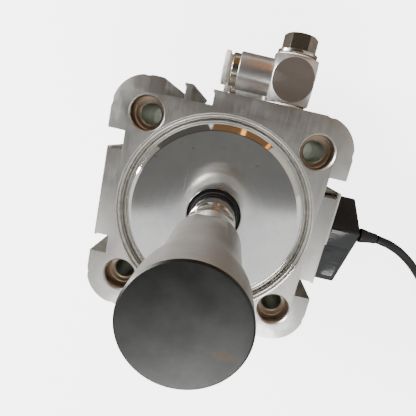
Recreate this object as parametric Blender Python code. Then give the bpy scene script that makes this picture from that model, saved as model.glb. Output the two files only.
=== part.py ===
"""Compact pneumatic cylinder with a rod extension, two banjo elbow fittings and a proximity switch.

The cylinder stands on its rear face. The origin is the centre of that face, +Z runs along the
piston rod, +Y points to the side that carries the fittings and +X to the side that carries the
switch. Dimensions are in millimetres and are turned into metres where meshes are built.
"""
import bmesh
import bpy
from math import cos, pi, radians, sin, sqrt, tan
from mathutils import Vector

MM = 0.001

# Driving dimensions, in millimetres
GAP = 0.3                      # clearance between pieces that touch on the real object
SIDE = 80.0                    # square side of the extruded body
LENGTH = 60.0                  # body length along the rod
HOLE_PITCH = 56.5              # spacing of the four mounting holes
BORE_R = 31.5
SEAT_R = 33.4                  # recess that takes a cover
ROD_R = 7.5

HALF = SIDE / 2
HOLE_XY = HOLE_PITCH / 2
CORNER_R = HALF - HOLE_XY
LAND_X = 39.3                  # side faces between the two sensor slots
SLOT_LOW = 15.0
SLOT_HIGH = 21.3
SLOT_FLOOR = 34.3
LIP = 0.5                      # small lip that narrows a slot at its mouth
LIP_DEPTH = 0.8
TOP_FLOOR = 35.1               # floor of the two slots beside the fittings
TOP_SLOT_OUTER = (-23.7, -17.4)
TOP_SLOT_INNER = (-15.5, -8.2)

COUNTERBORE_R = 5.5
COUNTERBORE_DEPTH = 7.0
MOUNT_HOLE_R = 3.5

PORT_X = 15.5
PORT_FROM_END = 14.0
PORT_Z = {"front": LENGTH - PORT_FROM_END, "rear": PORT_FROM_END}
PORT_R = 5.1
PORT_DEPTH = 8.2
PORT_PILOT_R = 2.0
PORT_PILOT_END = 24.0

FRONT_SHOULDER = 49.2
REAR_SHOULDER = 9.3
RING_FROM_END = 1.9            # centre of a snap ring, measured from the body's end
RING_MAJOR_R = 33.3
RING_WIRE_R = 0.8
GROOVE_R = 34.3
GROOVE_HALF = 0.95

PISTON_REAR = 18.5
PISTON_SPLIT = 29.0
PISTON_FRONT = 40.5
PISTON_R = 31.1
ROD_REAR = 36.0
ROD_FRONT = 75.5
STUD_R = 3.9
STUD_HOLE_R = 4.2
NUT_THICKNESS = 5.5
NUT_FLATS = 13.0

SHAFT_REAR = 98.0
SHAFT_R = 8.9
SHAFT_FLATS = 16.0
SHAFT_FLATS_LENGTH = 8.0
FLARE_START = 118.0
FLARE_END = 132.0
HEAD_R = 10.45
HEAD_FRONT = 140.0

CUBE = 14.0                    # elbow body, square bar stock
CUBE_LOW = 1.5
CUBE_HIGH = 16.3
BARREL_Z = 8.9                 # barrel axis above the port face
BARREL_R = 6.2
BARREL_END = 18.3
COLLAR_END = 20.8
TUBE_R = 3.1
BOLT_R = 4.85
BOLT_FLATS = 10.0
BOLT_TURN = radians(54)        # how far the tightened head stopped round
FLANGE_R = 6.7
WASHER_HIGH = 17.0             # top of the upper washer, under the bolt's flange

SWITCH_TILT = radians(30.5)
SWITCH_CORNER = (4.5, 55.4)    # y and z of the corner nearest the rod end
SWITCH_LENGTH = 27.3
SWITCH_WIDTH = 20.6
SWITCH_X = (41.1, 52.0)
SCREW_AT = (-13.5, -10.0)      # clamp screw, in the switch's own tilted y and z
RELIEF_AT = (-1.9, -1.9)
PLATE_X = (39.6, 40.8)

# Steps around each family of round pieces
STEPS_BORE = 36
STEPS_PISTON = 28
STEPS_ROD = 24
STEPS_SMALL = 20
STEPS_TINY = 16

CABLE_R = 1.5
CABLE_ROUTE = [
    (58.6, 3.8, 52.9), (63.0, 3.0, 52.6), (68.0, 1.2, 50.8), (73.0, -1.3, 47.6),
    (78.0, -4.2, 43.8), (83.0, -7.4, 39.2), (88.5, -10.8, 32.4), (93.5, -13.6, 25.0),
    (98.0, -15.6, 17.5), (102.0, -17.2, 10.5), (104.9, -18.4, 5.6), (107.3, -19.9, 2.9),
]
COIL_CENTRE = (128.0, -18.0)
COIL_MEAN_R = 16.0
COIL_HALF = 3.3                # half the width of the wound section, two turns wide and two high
COIL_BASE = 1.0
TAIL_ROUTE = [(144.0, -5.4, 2.6), (144.0, -1.0, 3.0), (143.6, 4.0, 3.9), (143.2, 9.0, 4.5)]
PLUG_START = (143.2, 9.3, 4.5)
PLUG_LENGTH = 27.0
PLUG_R = 4.5


# ---------------------------------------------------------------- scene and mesh helpers

def clear_scene():
    """Remove every object, so that the script gives the same scene each run."""
    for item in list(bpy.data.objects):
        bpy.data.objects.remove(item, do_unlink=True)


def material(name, color, roughness, metallic):
    """Make one Principled BSDF material."""
    made = bpy.data.materials.new(name)
    made.use_nodes = True
    shader = made.node_tree.nodes["Principled BSDF"]
    shader.inputs["Base Color"].default_value = (*color, 1.0)
    shader.inputs["Roughness"].default_value = roughness
    shader.inputs["Metallic"].default_value = metallic
    return made


def empty(name, location, rotation=(0.0, 0.0, 0.0), parent=None):
    """Make an empty that carries a sub-assembly."""
    made = bpy.data.objects.new(name, None)
    made.empty_display_size = 0.01
    bpy.context.collection.objects.link(made)
    made.parent = parent
    made.location = [value * MM for value in location]
    made.rotation_euler = rotation
    return made


def add_object(name, work, look, parent=None, location=(0.0, 0.0, 0.0), rotation=(0.0, 0.0, 0.0)):
    """Turn a bmesh in millimetres into an object in metres, with its faces pointing out."""
    bmesh.ops.scale(work, vec=(MM, MM, MM), verts=work.verts)
    bmesh.ops.recalc_face_normals(work, faces=work.faces)
    mesh = bpy.data.meshes.new(name)
    work.to_mesh(mesh)
    work.free()
    mesh.shade_smooth()
    mesh.set_sharp_from_angle(angle=radians(30))
    made = bpy.data.objects.new(name, mesh)
    bpy.context.collection.objects.link(made)
    made.parent = parent
    made.location = [value * MM for value in location]
    made.rotation_euler = rotation
    made.data.materials.append(look)
    return made


def turned(profile, segments, closed=False):
    """Revolve (radius, height) points about Z. An open profile starts and ends on the axis."""
    work = bmesh.new()
    rings = []
    for radius, height in profile:
        if radius < 1e-6:
            rings.append([work.verts.new((0.0, 0.0, height))])
            continue
        angles = [2 * pi * step / segments for step in range(segments)]
        rings.append([work.verts.new((radius * cos(a), radius * sin(a), height)) for a in angles])
    pairs = list(zip(rings, rings[1:]))
    if closed:
        pairs.append((rings[-1], rings[0]))
    for low, high in pairs:
        for step in range(segments):
            after = (step + 1) % segments
            corners = [low[step % len(low)], low[after % len(low)],
                       high[after % len(high)], high[step % len(high)]]
            corners = list(dict.fromkeys(corners))
            if len(corners) > 2:
                work.faces.new(corners)
    return work


def open_ring(major, minor, height, gap_angle, segments, sides, middle):
    """A round-wire C ring about Z whose gap is centred on the angle middle."""
    work = bmesh.new()
    loops = []
    sweep = 2 * pi - gap_angle
    for step in range(segments + 1):
        angle = middle + gap_angle / 2 + sweep * step / segments
        loop = []
        for side in range(sides):
            around = 2 * pi * side / sides
            radius = major + minor * cos(around)
            loop.append(work.verts.new((radius * cos(angle), radius * sin(angle),
                                        height + minor * sin(around))))
        loops.append(loop)
    for low, high in zip(loops, loops[1:]):
        for side in range(sides):
            after = (side + 1) % sides
            work.faces.new((low[side], low[after], high[after], high[side]))
    work.faces.new(loops[0])
    work.faces.new(loops[-1])
    return work


def prism(outline, low, high):
    """Extrude an outline of (x, y) points from height low to height high."""
    work = bmesh.new()
    bottom = [work.verts.new((x, y, low)) for x, y in outline]
    top = [work.verts.new((x, y, high)) for x, y in outline]
    work.faces.new(bottom)
    work.faces.new(top)
    count = len(outline)
    for step in range(count):
        after = (step + 1) % count
        work.faces.new((bottom[step], bottom[after], top[after], top[step]))
    return work


def block(low, high, bevel=0.0, segments=1):
    """A box between two corners, with its edges rounded."""
    work = bmesh.new()
    bmesh.ops.create_cube(work, size=1.0)
    size = [b - a for a, b in zip(low, high)]
    centre = [(a + b) / 2 for a, b in zip(low, high)]
    bmesh.ops.scale(work, vec=size, verts=work.verts)
    bmesh.ops.translate(work, vec=centre, verts=work.verts)
    if bevel:
        bmesh.ops.bevel(work, geom=work.edges[:], offset=bevel, segments=segments,
                        profile=0.5, affect="EDGES", clamp_overlap=True)
    return work


def arc(centre, radius, start, end, steps):
    """Points along a circle, angles in degrees."""
    angles = [radians(start + (end - start) * step / steps) for step in range(steps + 1)]
    return [(centre[0] + radius * cos(a), centre[1] + radius * sin(a)) for a in angles]


def hexagon(flats, turn=0.0):
    """Outline of a hexagon across its flats, with a corner at the angle turn."""
    radius = flats / sqrt(3)
    return [(radius * cos(turn + pi * k / 3), radius * sin(turn + pi * k / 3)) for k in range(6)]


def combine(target, cutters, operation="DIFFERENCE"):
    """Apply one exact Boolean per cutter to the target, then remove the cutters."""
    for index, cutter in enumerate(cutters):
        cutter.hide_render = True
        cutter.display_type = "WIRE"
        step = target.modifiers.new("cut_%d" % index, "BOOLEAN")
        step.operation = operation
        step.object = cutter
        step.solver = "EXACT"
    bpy.context.view_layer.update()
    graph = bpy.context.evaluated_depsgraph_get()
    mesh = bpy.data.meshes.new_from_object(target.evaluated_get(graph))
    target.modifiers.clear()
    target.data = mesh
    mesh.shade_smooth()
    mesh.set_sharp_from_angle(angle=radians(30))
    for cutter in cutters:
        bpy.data.objects.remove(cutter, do_unlink=True)
    return target


def smooth_points(route, spacing):
    """Points about one spacing apart on a Catmull-Rom curve through the route."""
    knots = [Vector(point) for point in route]
    knots = [knots[0] * 2 - knots[1]] + knots + [knots[-1] * 2 - knots[-2]]
    made = [knots[1]]
    for a, b, c, d in zip(knots, knots[1:], knots[2:], knots[3:]):
        steps = max(1, round((c - b).length / spacing))
        for step in range(1, steps + 1):
            t = step / steps
            made.append(0.5 * ((2 * b) + (c - a) * t + (2 * a - 5 * b + 4 * c - d) * t ** 2
                               + (3 * b - a - 3 * c + d) * t ** 3))
    return made


def cable(name, route, look):
    """A round cable along a route, with filled ends."""
    curve = bpy.data.curves.new(name, "CURVE")
    curve.dimensions = "3D"
    curve.bevel_depth = CABLE_R * MM
    curve.bevel_resolution = 2
    curve.use_fill_caps = True
    points = smooth_points(route, 2.2 * CABLE_R)
    spline = curve.splines.new("POLY")
    spline.points.add(len(points) - 1)
    for knot, point in zip(spline.points, points):
        knot.co = (*(point * MM), 1.0)
    curve.materials.append(look)
    made = bpy.data.objects.new(name, curve)
    bpy.context.collection.objects.link(made)
    return made


# ---------------------------------------------------------------- cylinder body

def side_slots(sign_x):
    """Outline of one side face with its two sensor slots, listed upwards in y."""
    def at(x, y):
        return (sign_x * x, y)
    lower = [at(HALF, -SLOT_HIGH), at(SLOT_FLOOR, -SLOT_HIGH), at(SLOT_FLOOR, -SLOT_LOW),
             at(LAND_X - LIP_DEPTH, -SLOT_LOW), at(LAND_X - LIP_DEPTH, -SLOT_LOW - LIP),
             at(LAND_X, -SLOT_LOW - LIP)]
    upper = [(x, -y) for x, y in reversed(lower)]
    return lower + upper


def top_slots():
    """Outline of the two slots on the fitting side, listed towards -x."""
    inner_low, inner_high = TOP_SLOT_INNER
    outer_low, outer_high = TOP_SLOT_OUTER
    lip_y = HALF - LIP_DEPTH
    return [(inner_high - LIP, HALF), (inner_high - LIP, lip_y), (inner_high, lip_y - LIP),
            (inner_high, TOP_FLOOR), (inner_low, TOP_FLOOR), (inner_low, lip_y - LIP),
            (inner_low + LIP, lip_y), (inner_low + LIP, HALF), (outer_high - LIP, HALF),
            (outer_high - LIP, lip_y), (outer_high, lip_y - LIP), (outer_high, TOP_FLOOR),
            (outer_low, TOP_FLOOR), (outer_low, HALF - LIP_DEPTH), (outer_low - LIP_DEPTH, HALF)]


def body_outline():
    """The extrusion's outline, anticlockwise from the lower right corner."""
    c = HOLE_XY
    points = arc((c, -c), CORNER_R, -90, 0, 5)
    points += side_slots(1)
    points += arc((c, c), CORNER_R, 0, 90, 5)
    points += top_slots()
    points += arc((-c, c), CORNER_R, 90, 180, 5)
    points += list(reversed(side_slots(-1)))
    points += arc((-c, -c), CORNER_R, 180, 270, 5)
    points += [(y, x) for x, y in side_slots(-1)]
    return points


def bore_cutter(look):
    """The stepped bore with its two seats and snap ring grooves."""
    mouth = 0.4
    rear_low = RING_FROM_END - GROOVE_HALF
    rear_high = RING_FROM_END + GROOVE_HALF
    front_low = LENGTH - rear_high
    front_high = LENGTH - rear_low
    profile = [(0.0, -1.0), (SEAT_R + mouth + 1.0, -1.0), (SEAT_R, mouth), (SEAT_R, rear_low),
               (GROOVE_R, rear_low), (GROOVE_R, rear_high), (SEAT_R, rear_high),
               (SEAT_R, REAR_SHOULDER), (BORE_R, REAR_SHOULDER), (BORE_R, FRONT_SHOULDER),
               (SEAT_R, FRONT_SHOULDER), (SEAT_R, front_low), (GROOVE_R, front_low),
               (GROOVE_R, front_high), (SEAT_R, front_high), (SEAT_R, LENGTH - mouth),
               (SEAT_R + mouth + 1.0, LENGTH + 1.0), (0.0, LENGTH + 1.0)]
    return add_object("bore_cutter", turned(profile, STEPS_BORE), look)


def mount_hole_cutter(x, y, look):
    """A through hole for a screw, counterbored from both ends."""
    mouth = 0.5
    deep = COUNTERBORE_DEPTH
    profile = [(0.0, -1.0), (COUNTERBORE_R + mouth + 1.0, -1.0), (COUNTERBORE_R, mouth),
               (COUNTERBORE_R, deep), (MOUNT_HOLE_R, deep), (MOUNT_HOLE_R, LENGTH - deep),
               (COUNTERBORE_R, LENGTH - deep), (COUNTERBORE_R, LENGTH - mouth),
               (COUNTERBORE_R + mouth + 1.0, LENGTH + 1.0), (0.0, LENGTH + 1.0)]
    return add_object("hole_cutter", turned(profile, STEPS_TINY), look, location=(x, y, 0.0))


def port_cutter(z, look):
    """An air port: a threaded hole and the pilot that reaches the bore."""
    profile = [(0.0, PORT_PILOT_END - HALF), (PORT_PILOT_R, PORT_PILOT_END - HALF),
               (PORT_PILOT_R, -PORT_DEPTH), (PORT_R, -PORT_DEPTH), (PORT_R, -0.4),
               (PORT_R + 1.4, 1.0), (0.0, 1.0)]
    return add_object("port_cutter", turned(profile, STEPS_TINY), look,
                      location=(PORT_X, HALF, z), rotation=(-pi / 2, 0.0, 0.0))


def build_body(look):
    body = add_object("cylinder_body", prism(body_outline(), 0.0, LENGTH), look)
    cutters = [bore_cutter(look)]
    for x in (-HOLE_XY, HOLE_XY):
        for y in (-HOLE_XY, HOLE_XY):
            cutters.append(mount_hole_cutter(x, y, look))
    for z in PORT_Z.values():
        cutters.append(port_cutter(z, look))
    combine(body, cutters)


# ---------------------------------------------------------------- covers and their seals

COVER_R = SEAT_R - GAP
COVER_CHAMFER_R = 28.4
COVER_EDGE_R = 32.0
COVER_EDGE_DROP = 2.0
FRONT_RECESS = 0.8
LEDGE_FROM_END = RING_FROM_END + RING_WIRE_R + GAP
ORING_FLOOR_R = 30.6
ORING_WIDTH = 2.8
WIPER_SEAT_R = 9.2
WIPER_SEAT_Z = 54.0
BUSH_SEAT_R = 9.5
BUSH_SEAT_Z = 53.6
FRONT_ORING_Z = 50.8
REAR_ORING_Z = 4.2
FRONT_INNER_Z = 44.9


def build_front_cover(look):
    face = LENGTH - FRONT_RECESS
    ledge = LENGTH - LEDGE_FROM_END
    groove = FRONT_ORING_Z
    profile = [(BUSH_SEAT_R, FRONT_INNER_Z), (29.0, FRONT_INNER_Z),
               (29.0, FRONT_SHOULDER + GAP), (COVER_R, FRONT_SHOULDER + GAP), (COVER_R, groove),
               (ORING_FLOOR_R, groove), (ORING_FLOOR_R, groove + ORING_WIDTH),
               (COVER_R, groove + ORING_WIDTH), (COVER_R, ledge), (COVER_EDGE_R, ledge),
               (COVER_EDGE_R, face - COVER_EDGE_DROP), (COVER_CHAMFER_R, face),
               (WIPER_SEAT_R + 0.3, face), (WIPER_SEAT_R, face - 0.3),
               (WIPER_SEAT_R, WIPER_SEAT_Z), (ROD_R + GAP, WIPER_SEAT_Z),
               (ROD_R + GAP, BUSH_SEAT_Z), (BUSH_SEAT_R, BUSH_SEAT_Z)]
    add_object("front_cover", turned(profile, STEPS_BORE, closed=True), look)


def build_rear_cover(look):
    groove = REAR_ORING_Z
    inner = REAR_SHOULDER - GAP
    profile = [(0.0, 0.0), (COVER_CHAMFER_R, 0.0), (COVER_EDGE_R, COVER_EDGE_DROP),
               (COVER_EDGE_R, LEDGE_FROM_END), (COVER_R, LEDGE_FROM_END), (COVER_R, groove),
               (ORING_FLOOR_R, groove), (ORING_FLOOR_R, groove + ORING_WIDTH),
               (COVER_R, groove + ORING_WIDTH), (COVER_R, inner), (0.0, inner)]
    add_object("rear_cover", turned(profile, STEPS_BORE), look)


def build_snap_rings(look):
    for name, height in (("rear", RING_FROM_END), ("front", LENGTH - RING_FROM_END)):
        ring = open_ring(RING_MAJOR_R, RING_WIRE_R, height, radians(14), 33, 6, radians(-80))
        add_object("%s_snap_ring" % name, ring, look)


def o_ring(name, inner, outer, low, high, look, segments=STEPS_BORE, **place):
    """A rubber ring with a six-sided section between two radii and two heights."""
    cut = (outer - inner) * 0.28
    middle = (low + high) / 2
    profile = [(inner, middle), (inner + cut, low), (outer - cut, low), (outer, middle),
               (outer - cut, high), (inner + cut, high)]
    return add_object(name, turned(profile, segments, closed=True), look, **place)


def ring(name, inner, outer, low, high, look, segments=STEPS_ROD, **place):
    """A plain turned ring with a rectangular section."""
    profile = [(inner, low), (outer, low), (outer, high), (inner, high)]
    return add_object(name, turned(profile, segments, closed=True), look, **place)


def build_cover_seals(rubber, bronze):
    for name, groove in (("front", FRONT_ORING_Z), ("rear", REAR_ORING_Z)):
        o_ring("%s_cover_o_ring" % name, ORING_FLOOR_R + 0.2, COVER_R + 0.05,
               groove + 0.2, groove + ORING_WIDTH - 0.2, rubber)
    ring("rod_bushing", ROD_R + GAP, BUSH_SEAT_R - GAP, FRONT_INNER_Z + 0.4, BUSH_SEAT_Z - GAP,
         bronze)
    low = WIPER_SEAT_Z + GAP
    wiper = [(ROD_R + 0.5, low), (WIPER_SEAT_R - GAP, low), (WIPER_SEAT_R - GAP, 58.2),
             (ROD_R + 0.6, 58.8), (ROD_R + 0.2, 58.8), (ROD_R + 0.5, 57.6)]
    add_object("rod_wiper_seal", turned(wiper, STEPS_ROD, closed=True), rubber)
    ring("rear_bumper", 14.0, 22.0, REAR_SHOULDER, REAR_SHOULDER + 1.2, rubber)
    ring("front_bumper", 14.0, 22.0, 43.4, FRONT_INNER_Z - GAP, rubber)


# ---------------------------------------------------------------- piston and rod

SCREW_HEAD = (19.0, 24.4)
MAGNET = (27.0, 31.0)
REAR_SEAL = (22.8, 26.0)
WEAR_GROOVE = (31.8, 34.4)
FRONT_SEAL = (35.2, 38.4)
SEAL_FLOOR_R = 26.5
MAGNET_FLOOR_R = 27.0
WEAR_FLOOR_R = 29.5


def build_piston(parent, aluminium, rubber, plastic, magnet):
    half_gap = GAP / 2
    rear_split = PISTON_SPLIT - half_gap
    rear = [(STUD_HOLE_R, SCREW_HEAD[1] + GAP), (7.0, SCREW_HEAD[1] + GAP), (7.0, PISTON_REAR),
            (27.0, PISTON_REAR), (27.0, 22.0), (PISTON_R, 22.0), (PISTON_R, REAR_SEAL[0]),
            (SEAL_FLOOR_R, REAR_SEAL[0]), (SEAL_FLOOR_R, REAR_SEAL[1]), (PISTON_R, REAR_SEAL[1]),
            (PISTON_R, MAGNET[0]), (MAGNET_FLOOR_R, MAGNET[0]), (MAGNET_FLOOR_R, rear_split),
            (STUD_HOLE_R, rear_split)]
    add_object("piston_rear_half", turned(rear, STEPS_PISTON, closed=True), aluminium, parent)
    split = PISTON_SPLIT + half_gap
    front = [(STUD_HOLE_R, split), (MAGNET_FLOOR_R, split), (MAGNET_FLOOR_R, MAGNET[1]),
             (PISTON_R, MAGNET[1]), (PISTON_R, WEAR_GROOVE[0]), (WEAR_FLOOR_R, WEAR_GROOVE[0]),
             (WEAR_FLOOR_R, WEAR_GROOVE[1]), (PISTON_R, WEAR_GROOVE[1]),
             (PISTON_R, FRONT_SEAL[0]), (SEAL_FLOOR_R, FRONT_SEAL[0]),
             (SEAL_FLOOR_R, FRONT_SEAL[1]), (PISTON_R, FRONT_SEAL[1]), (PISTON_R, 40.0),
             (PISTON_R - 0.5, PISTON_FRONT), (ROD_R + GAP, PISTON_FRONT),
             (ROD_R + GAP, ROD_REAR - GAP), (STUD_HOLE_R, ROD_REAR - GAP)]
    add_object("piston_front_half", turned(front, STEPS_PISTON, closed=True), aluminium, parent)
    ring("piston_magnet", MAGNET_FLOOR_R + GAP, 30.8, MAGNET[0] + GAP, MAGNET[1] - GAP, magnet,
         STEPS_PISTON, parent=parent)
    ring("piston_wear_ring", WEAR_FLOOR_R + GAP, PISTON_R + 0.12, WEAR_GROOVE[0] + GAP,
         WEAR_GROOVE[1] - GAP, plastic, STEPS_PISTON)
    for name, (low, high), lip in (("rear", REAR_SEAL, -1), ("front", FRONT_SEAL, 1)):
        base, tip = (high - GAP, low + GAP) if lip < 0 else (low + GAP, high - GAP)
        notch = base + (tip - base) * 0.45
        seal = [(SEAL_FLOOR_R + GAP, base), (PISTON_R - 0.3, base), (PISTON_R + 0.15, tip),
                (PISTON_R - 0.8, tip), (28.9, notch), (SEAL_FLOOR_R + GAP, tip)]
        add_object("%s_piston_seal" % name, turned(seal, STEPS_PISTON, closed=True), rubber)


def build_piston_screw(parent, look):
    low, high = SCREW_HEAD
    profile = [(0.0, low), (6.2, low), (6.5, low + 0.3), (6.5, high), (STUD_R, high),
               (STUD_R, 46.5), (STUD_R - 0.5, 47.0), (0.0, 47.0)]
    screw = add_object("piston_screw", turned(profile, STEPS_SMALL), look, parent)
    socket = add_object("socket_cutter", prism(hexagon(6.0), low - 1.0, low + 3.2), look)
    combine(screw, [socket])


def build_rod(parent, look):
    profile = [(0.0, 49.0), (STUD_HOLE_R, 49.0), (STUD_HOLE_R, ROD_REAR), (ROD_R - 0.5, ROD_REAR),
               (ROD_R, ROD_REAR + 0.5), (ROD_R, ROD_FRONT - 0.5), (ROD_R - 0.5, ROD_FRONT),
               (STUD_HOLE_R, ROD_FRONT), (STUD_HOLE_R, 61.5), (0.0, 61.5)]
    add_object("piston_rod", turned(profile, STEPS_ROD), look, parent)


def chamfered_hex(flats, low, high, chamfer_low, chamfer_high, turn, segments=STEPS_ROD):
    """A turned blank that rounds off a hexagon's corners at one or both ends."""
    corner = flats / sqrt(3) + 0.4
    rim = flats / 2 - 0.1
    rise = (corner - rim) * tan(radians(30))
    bottom = [(0.0, low), (rim, low), (corner, low + rise)] if chamfer_low \
        else [(0.0, low), (corner, low)]
    top = [(corner, high - rise), (rim, high), (0.0, high)] if chamfer_high \
        else [(corner, high), (0.0, high)]
    return turned(bottom + top, segments), hexagon(flats, turn)


def build_lock_nut(parent, look):
    low = ROD_FRONT + GAP
    high = low + NUT_THICKNESS
    blank, outline = chamfered_hex(NUT_FLATS, low, high, True, True, radians(94))
    nut = add_object("rod_lock_nut", blank, look, parent)
    wrench = add_object("hex_cutter", prism(outline, low - 1.0, high + 1.0), look)
    combine(nut, [wrench], "INTERSECT")
    hole = turned([(0.0, low - 1.0), (STUD_HOLE_R, low - 1.0), (STUD_HOLE_R, high + 1.0),
                   (0.0, high + 1.0)], STEPS_TINY)
    combine(nut, [add_object("hole_cutter", hole, look)])


def flare_profile(steps):
    """The smooth widening from the shaft to the head, as (radius, height) points."""
    made = []
    for step in range(steps + 1):
        t = step / steps
        made.append((SHAFT_R + (HEAD_R - SHAFT_R) * t * t * (3 - 2 * t),
                     FLARE_START + (FLARE_END - FLARE_START) * t))
    return made


def build_extension(parent, look):
    profile = [(0.0, 63.0), (STUD_R - 0.5, 63.0), (STUD_R, 63.5), (STUD_R, SHAFT_REAR),
               (SHAFT_R - 0.8, SHAFT_REAR), (SHAFT_R, SHAFT_REAR + 0.8)]
    profile += flare_profile(5)
    profile += [(HEAD_R, HEAD_FRONT - 0.4), (HEAD_R - 0.4, HEAD_FRONT), (0.0, HEAD_FRONT)]
    extension = add_object("rod_extension", turned(profile, STEPS_ROD), look, parent)
    cutters = []
    for sign in (-1, 1):
        near = sign * SHAFT_FLATS / 2
        far = sign * (SHAFT_R + 2.0)
        low = (-SHAFT_R - 2.0, min(near, far), SHAFT_REAR - 1.0)
        high = (SHAFT_R + 2.0, max(near, far), SHAFT_REAR + SHAFT_FLATS_LENGTH)
        cutters.append(add_object("flat_cutter", block(low, high), look))
    combine(extension, cutters)


# ---------------------------------------------------------------- banjo elbow fittings

FACE_R = 7.05
BOLT_BORE_R = BOLT_R + 0.35
COLLAR_SEAT_R = 5.65
COLLAR_SEAT_END = 12.2
SEAL_SEAT_R = 4.4
SEAL_SEAT_END = 8.5
TUBE_STOP = 6.8
AIRWAY_R = 2.3
ALONG_BARREL = (0.0, -pi / 2, 0.0)


def build_elbow(name, swivel, look):
    half = CUBE / 2
    centre = (CUBE_LOW + CUBE_HIGH) / 2
    cube = add_object(name, block((-half, -half, CUBE_LOW), (half, half, CUBE_HIGH)), look, swivel)
    corner = half * sqrt(2) + 1.0
    slope = corner - FACE_R
    turn = turned([(0.0, -half), (FACE_R, -half), (corner, -half + slope * 0.62),
                   (corner, half + 1.0), (0.0, half + 1.0)], STEPS_ROD)
    front = add_object("face_cutter", turn, look, swivel, (0.0, 0.0, centre), (-pi / 2, 0.0, 0.0))
    combine(cube, [front], "INTERSECT")
    barrel = turned([(0.0, 2.0), (BARREL_R, 2.0), (BARREL_R, BARREL_END - 0.3),
                     (BARREL_R - 0.3, BARREL_END), (0.0, BARREL_END)], STEPS_SMALL)
    tube = add_object("barrel_part", barrel, look, swivel, (0.0, 0.0, BARREL_Z), ALONG_BARREL)
    combine(cube, [tube], "UNION")
    upright = turned([(0.0, 0.0), (BOLT_BORE_R, 0.0), (BOLT_BORE_R, 20.0), (0.0, 20.0)],
                     STEPS_SMALL)
    socket = turned([(0.0, 1.0), (AIRWAY_R, 1.0), (AIRWAY_R, TUBE_STOP), (TUBE_R, TUBE_STOP),
                     (TUBE_R, SEAL_SEAT_END), (SEAL_SEAT_R, SEAL_SEAT_END),
                     (SEAL_SEAT_R, COLLAR_SEAT_END), (COLLAR_SEAT_R, COLLAR_SEAT_END),
                     (COLLAR_SEAT_R, BARREL_END + 1.0), (0.0, BARREL_END + 1.0)], STEPS_SMALL)
    combine(cube, [add_object("bore_cutter", upright, look, swivel),
                   add_object("socket_cutter", socket, look, swivel, (0.0, 0.0, BARREL_Z),
                              ALONG_BARREL)])


def build_banjo_bolt(name, base, look):
    low, flange, seat, top = -7.5, WASHER_HIGH + GAP, 18.3, 23.6
    blank, outline = chamfered_hex(BOLT_FLATS, seat - 0.5, top, False, True, BOLT_TURN)
    bolt = add_object(name, blank, look, base)
    hexagonal = add_object("hex_cutter", prism(outline, seat - 1.0, top + 1.0), look, base)
    combine(bolt, [hexagonal], "INTERSECT")
    stem = turned([(0.0, low), (BOLT_R - 0.6, low), (BOLT_R, low + 0.6), (BOLT_R, flange),
                   (FLANGE_R, flange), (FLANGE_R, seat), (0.0, seat)], STEPS_SMALL)
    combine(bolt, [add_object("stem_part", stem, look, base)], "UNION")
    bore = turned([(0.0, low - 1.0), (2.2, low - 1.0), (2.2, 11.0), (0.0, 11.0)], 12)
    cross = turned([(0.0, -7.0), (1.5, -7.0), (1.5, 7.0), (0.0, 7.0)], 8)
    combine(bolt, [add_object("bore_cutter", bore, look, base),
                   add_object("cross_cutter", cross, look, base, (0.0, 0.0, BARREL_Z),
                              ALONG_BARREL)])


def build_fitting(end, nickel, aluminium, white, rubber, steel):
    """One elbow on its port: the bolt stays with the body, the rest swivels about it."""
    base = empty("%s_port_axis" % end, (PORT_X, HALF, PORT_Z[end]), (-pi / 2, 0.0, 0.0))
    swivel = empty("%s_elbow_axis" % end, (0.0, 0.0, 0.0), parent=base)
    build_elbow("%s_elbow_body" % end, swivel, aluminium)
    build_banjo_bolt("%s_banjo_bolt" % end, base, nickel)
    ring("%s_lower_washer" % end, BOLT_BORE_R, 6.8, GAP, CUBE_LOW - GAP, white, STEPS_SMALL,
         parent=base)
    ring("%s_upper_washer" % end, BOLT_BORE_R, 6.6, CUBE_HIGH + GAP, WASHER_HIGH, white, STEPS_SMALL,
         parent=base)
    place = {"parent": swivel, "location": (0.0, 0.0, BARREL_Z), "rotation": ALONG_BARREL}
    ring("%s_collar" % end, 4.9, COLLAR_SEAT_R - 0.25, 13.6, COLLAR_END, nickel, STEPS_SMALL,
         **place)
    ring("%s_grab_ring" % end, 3.5, 5.3, 12.5, 13.3, steel, STEPS_TINY, **place)
    ring("%s_tube_seal" % end, TUBE_R + 0.2, SEAL_SEAT_R - 0.15, 9.8, 11.6, rubber, STEPS_TINY,
         **place)
    sleeve = [(TUBE_R, 14.6), (4.6, 14.6), (4.6, 21.9), (5.6, 21.9), (5.6, 23.2), (5.2, 23.6),
              (TUBE_R, 23.6)]
    add_object("%s_release_ring" % end, turned(sleeve, STEPS_SMALL, closed=True), white, **place)


# ---------------------------------------------------------------- proximity switch

def switch_point(along, across, x=0.0):
    """A point given in the switch's tilted y and z, in the object's frame."""
    y, z = SWITCH_CORNER
    return (x, y + cos(SWITCH_TILT) * along - sin(SWITCH_TILT) * across,
            z + sin(SWITCH_TILT) * along + cos(SWITCH_TILT) * across)


def along_x(radii, segments, look, name, at, parent=None):
    """A turned piece about an axis along +X through a point (y, z), profile given as (r, x)."""
    return add_object(name, turned(radii, segments), look, parent, (0.0, at[0], at[1]),
                      (pi / 2, 0.0, pi / 2))


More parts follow.
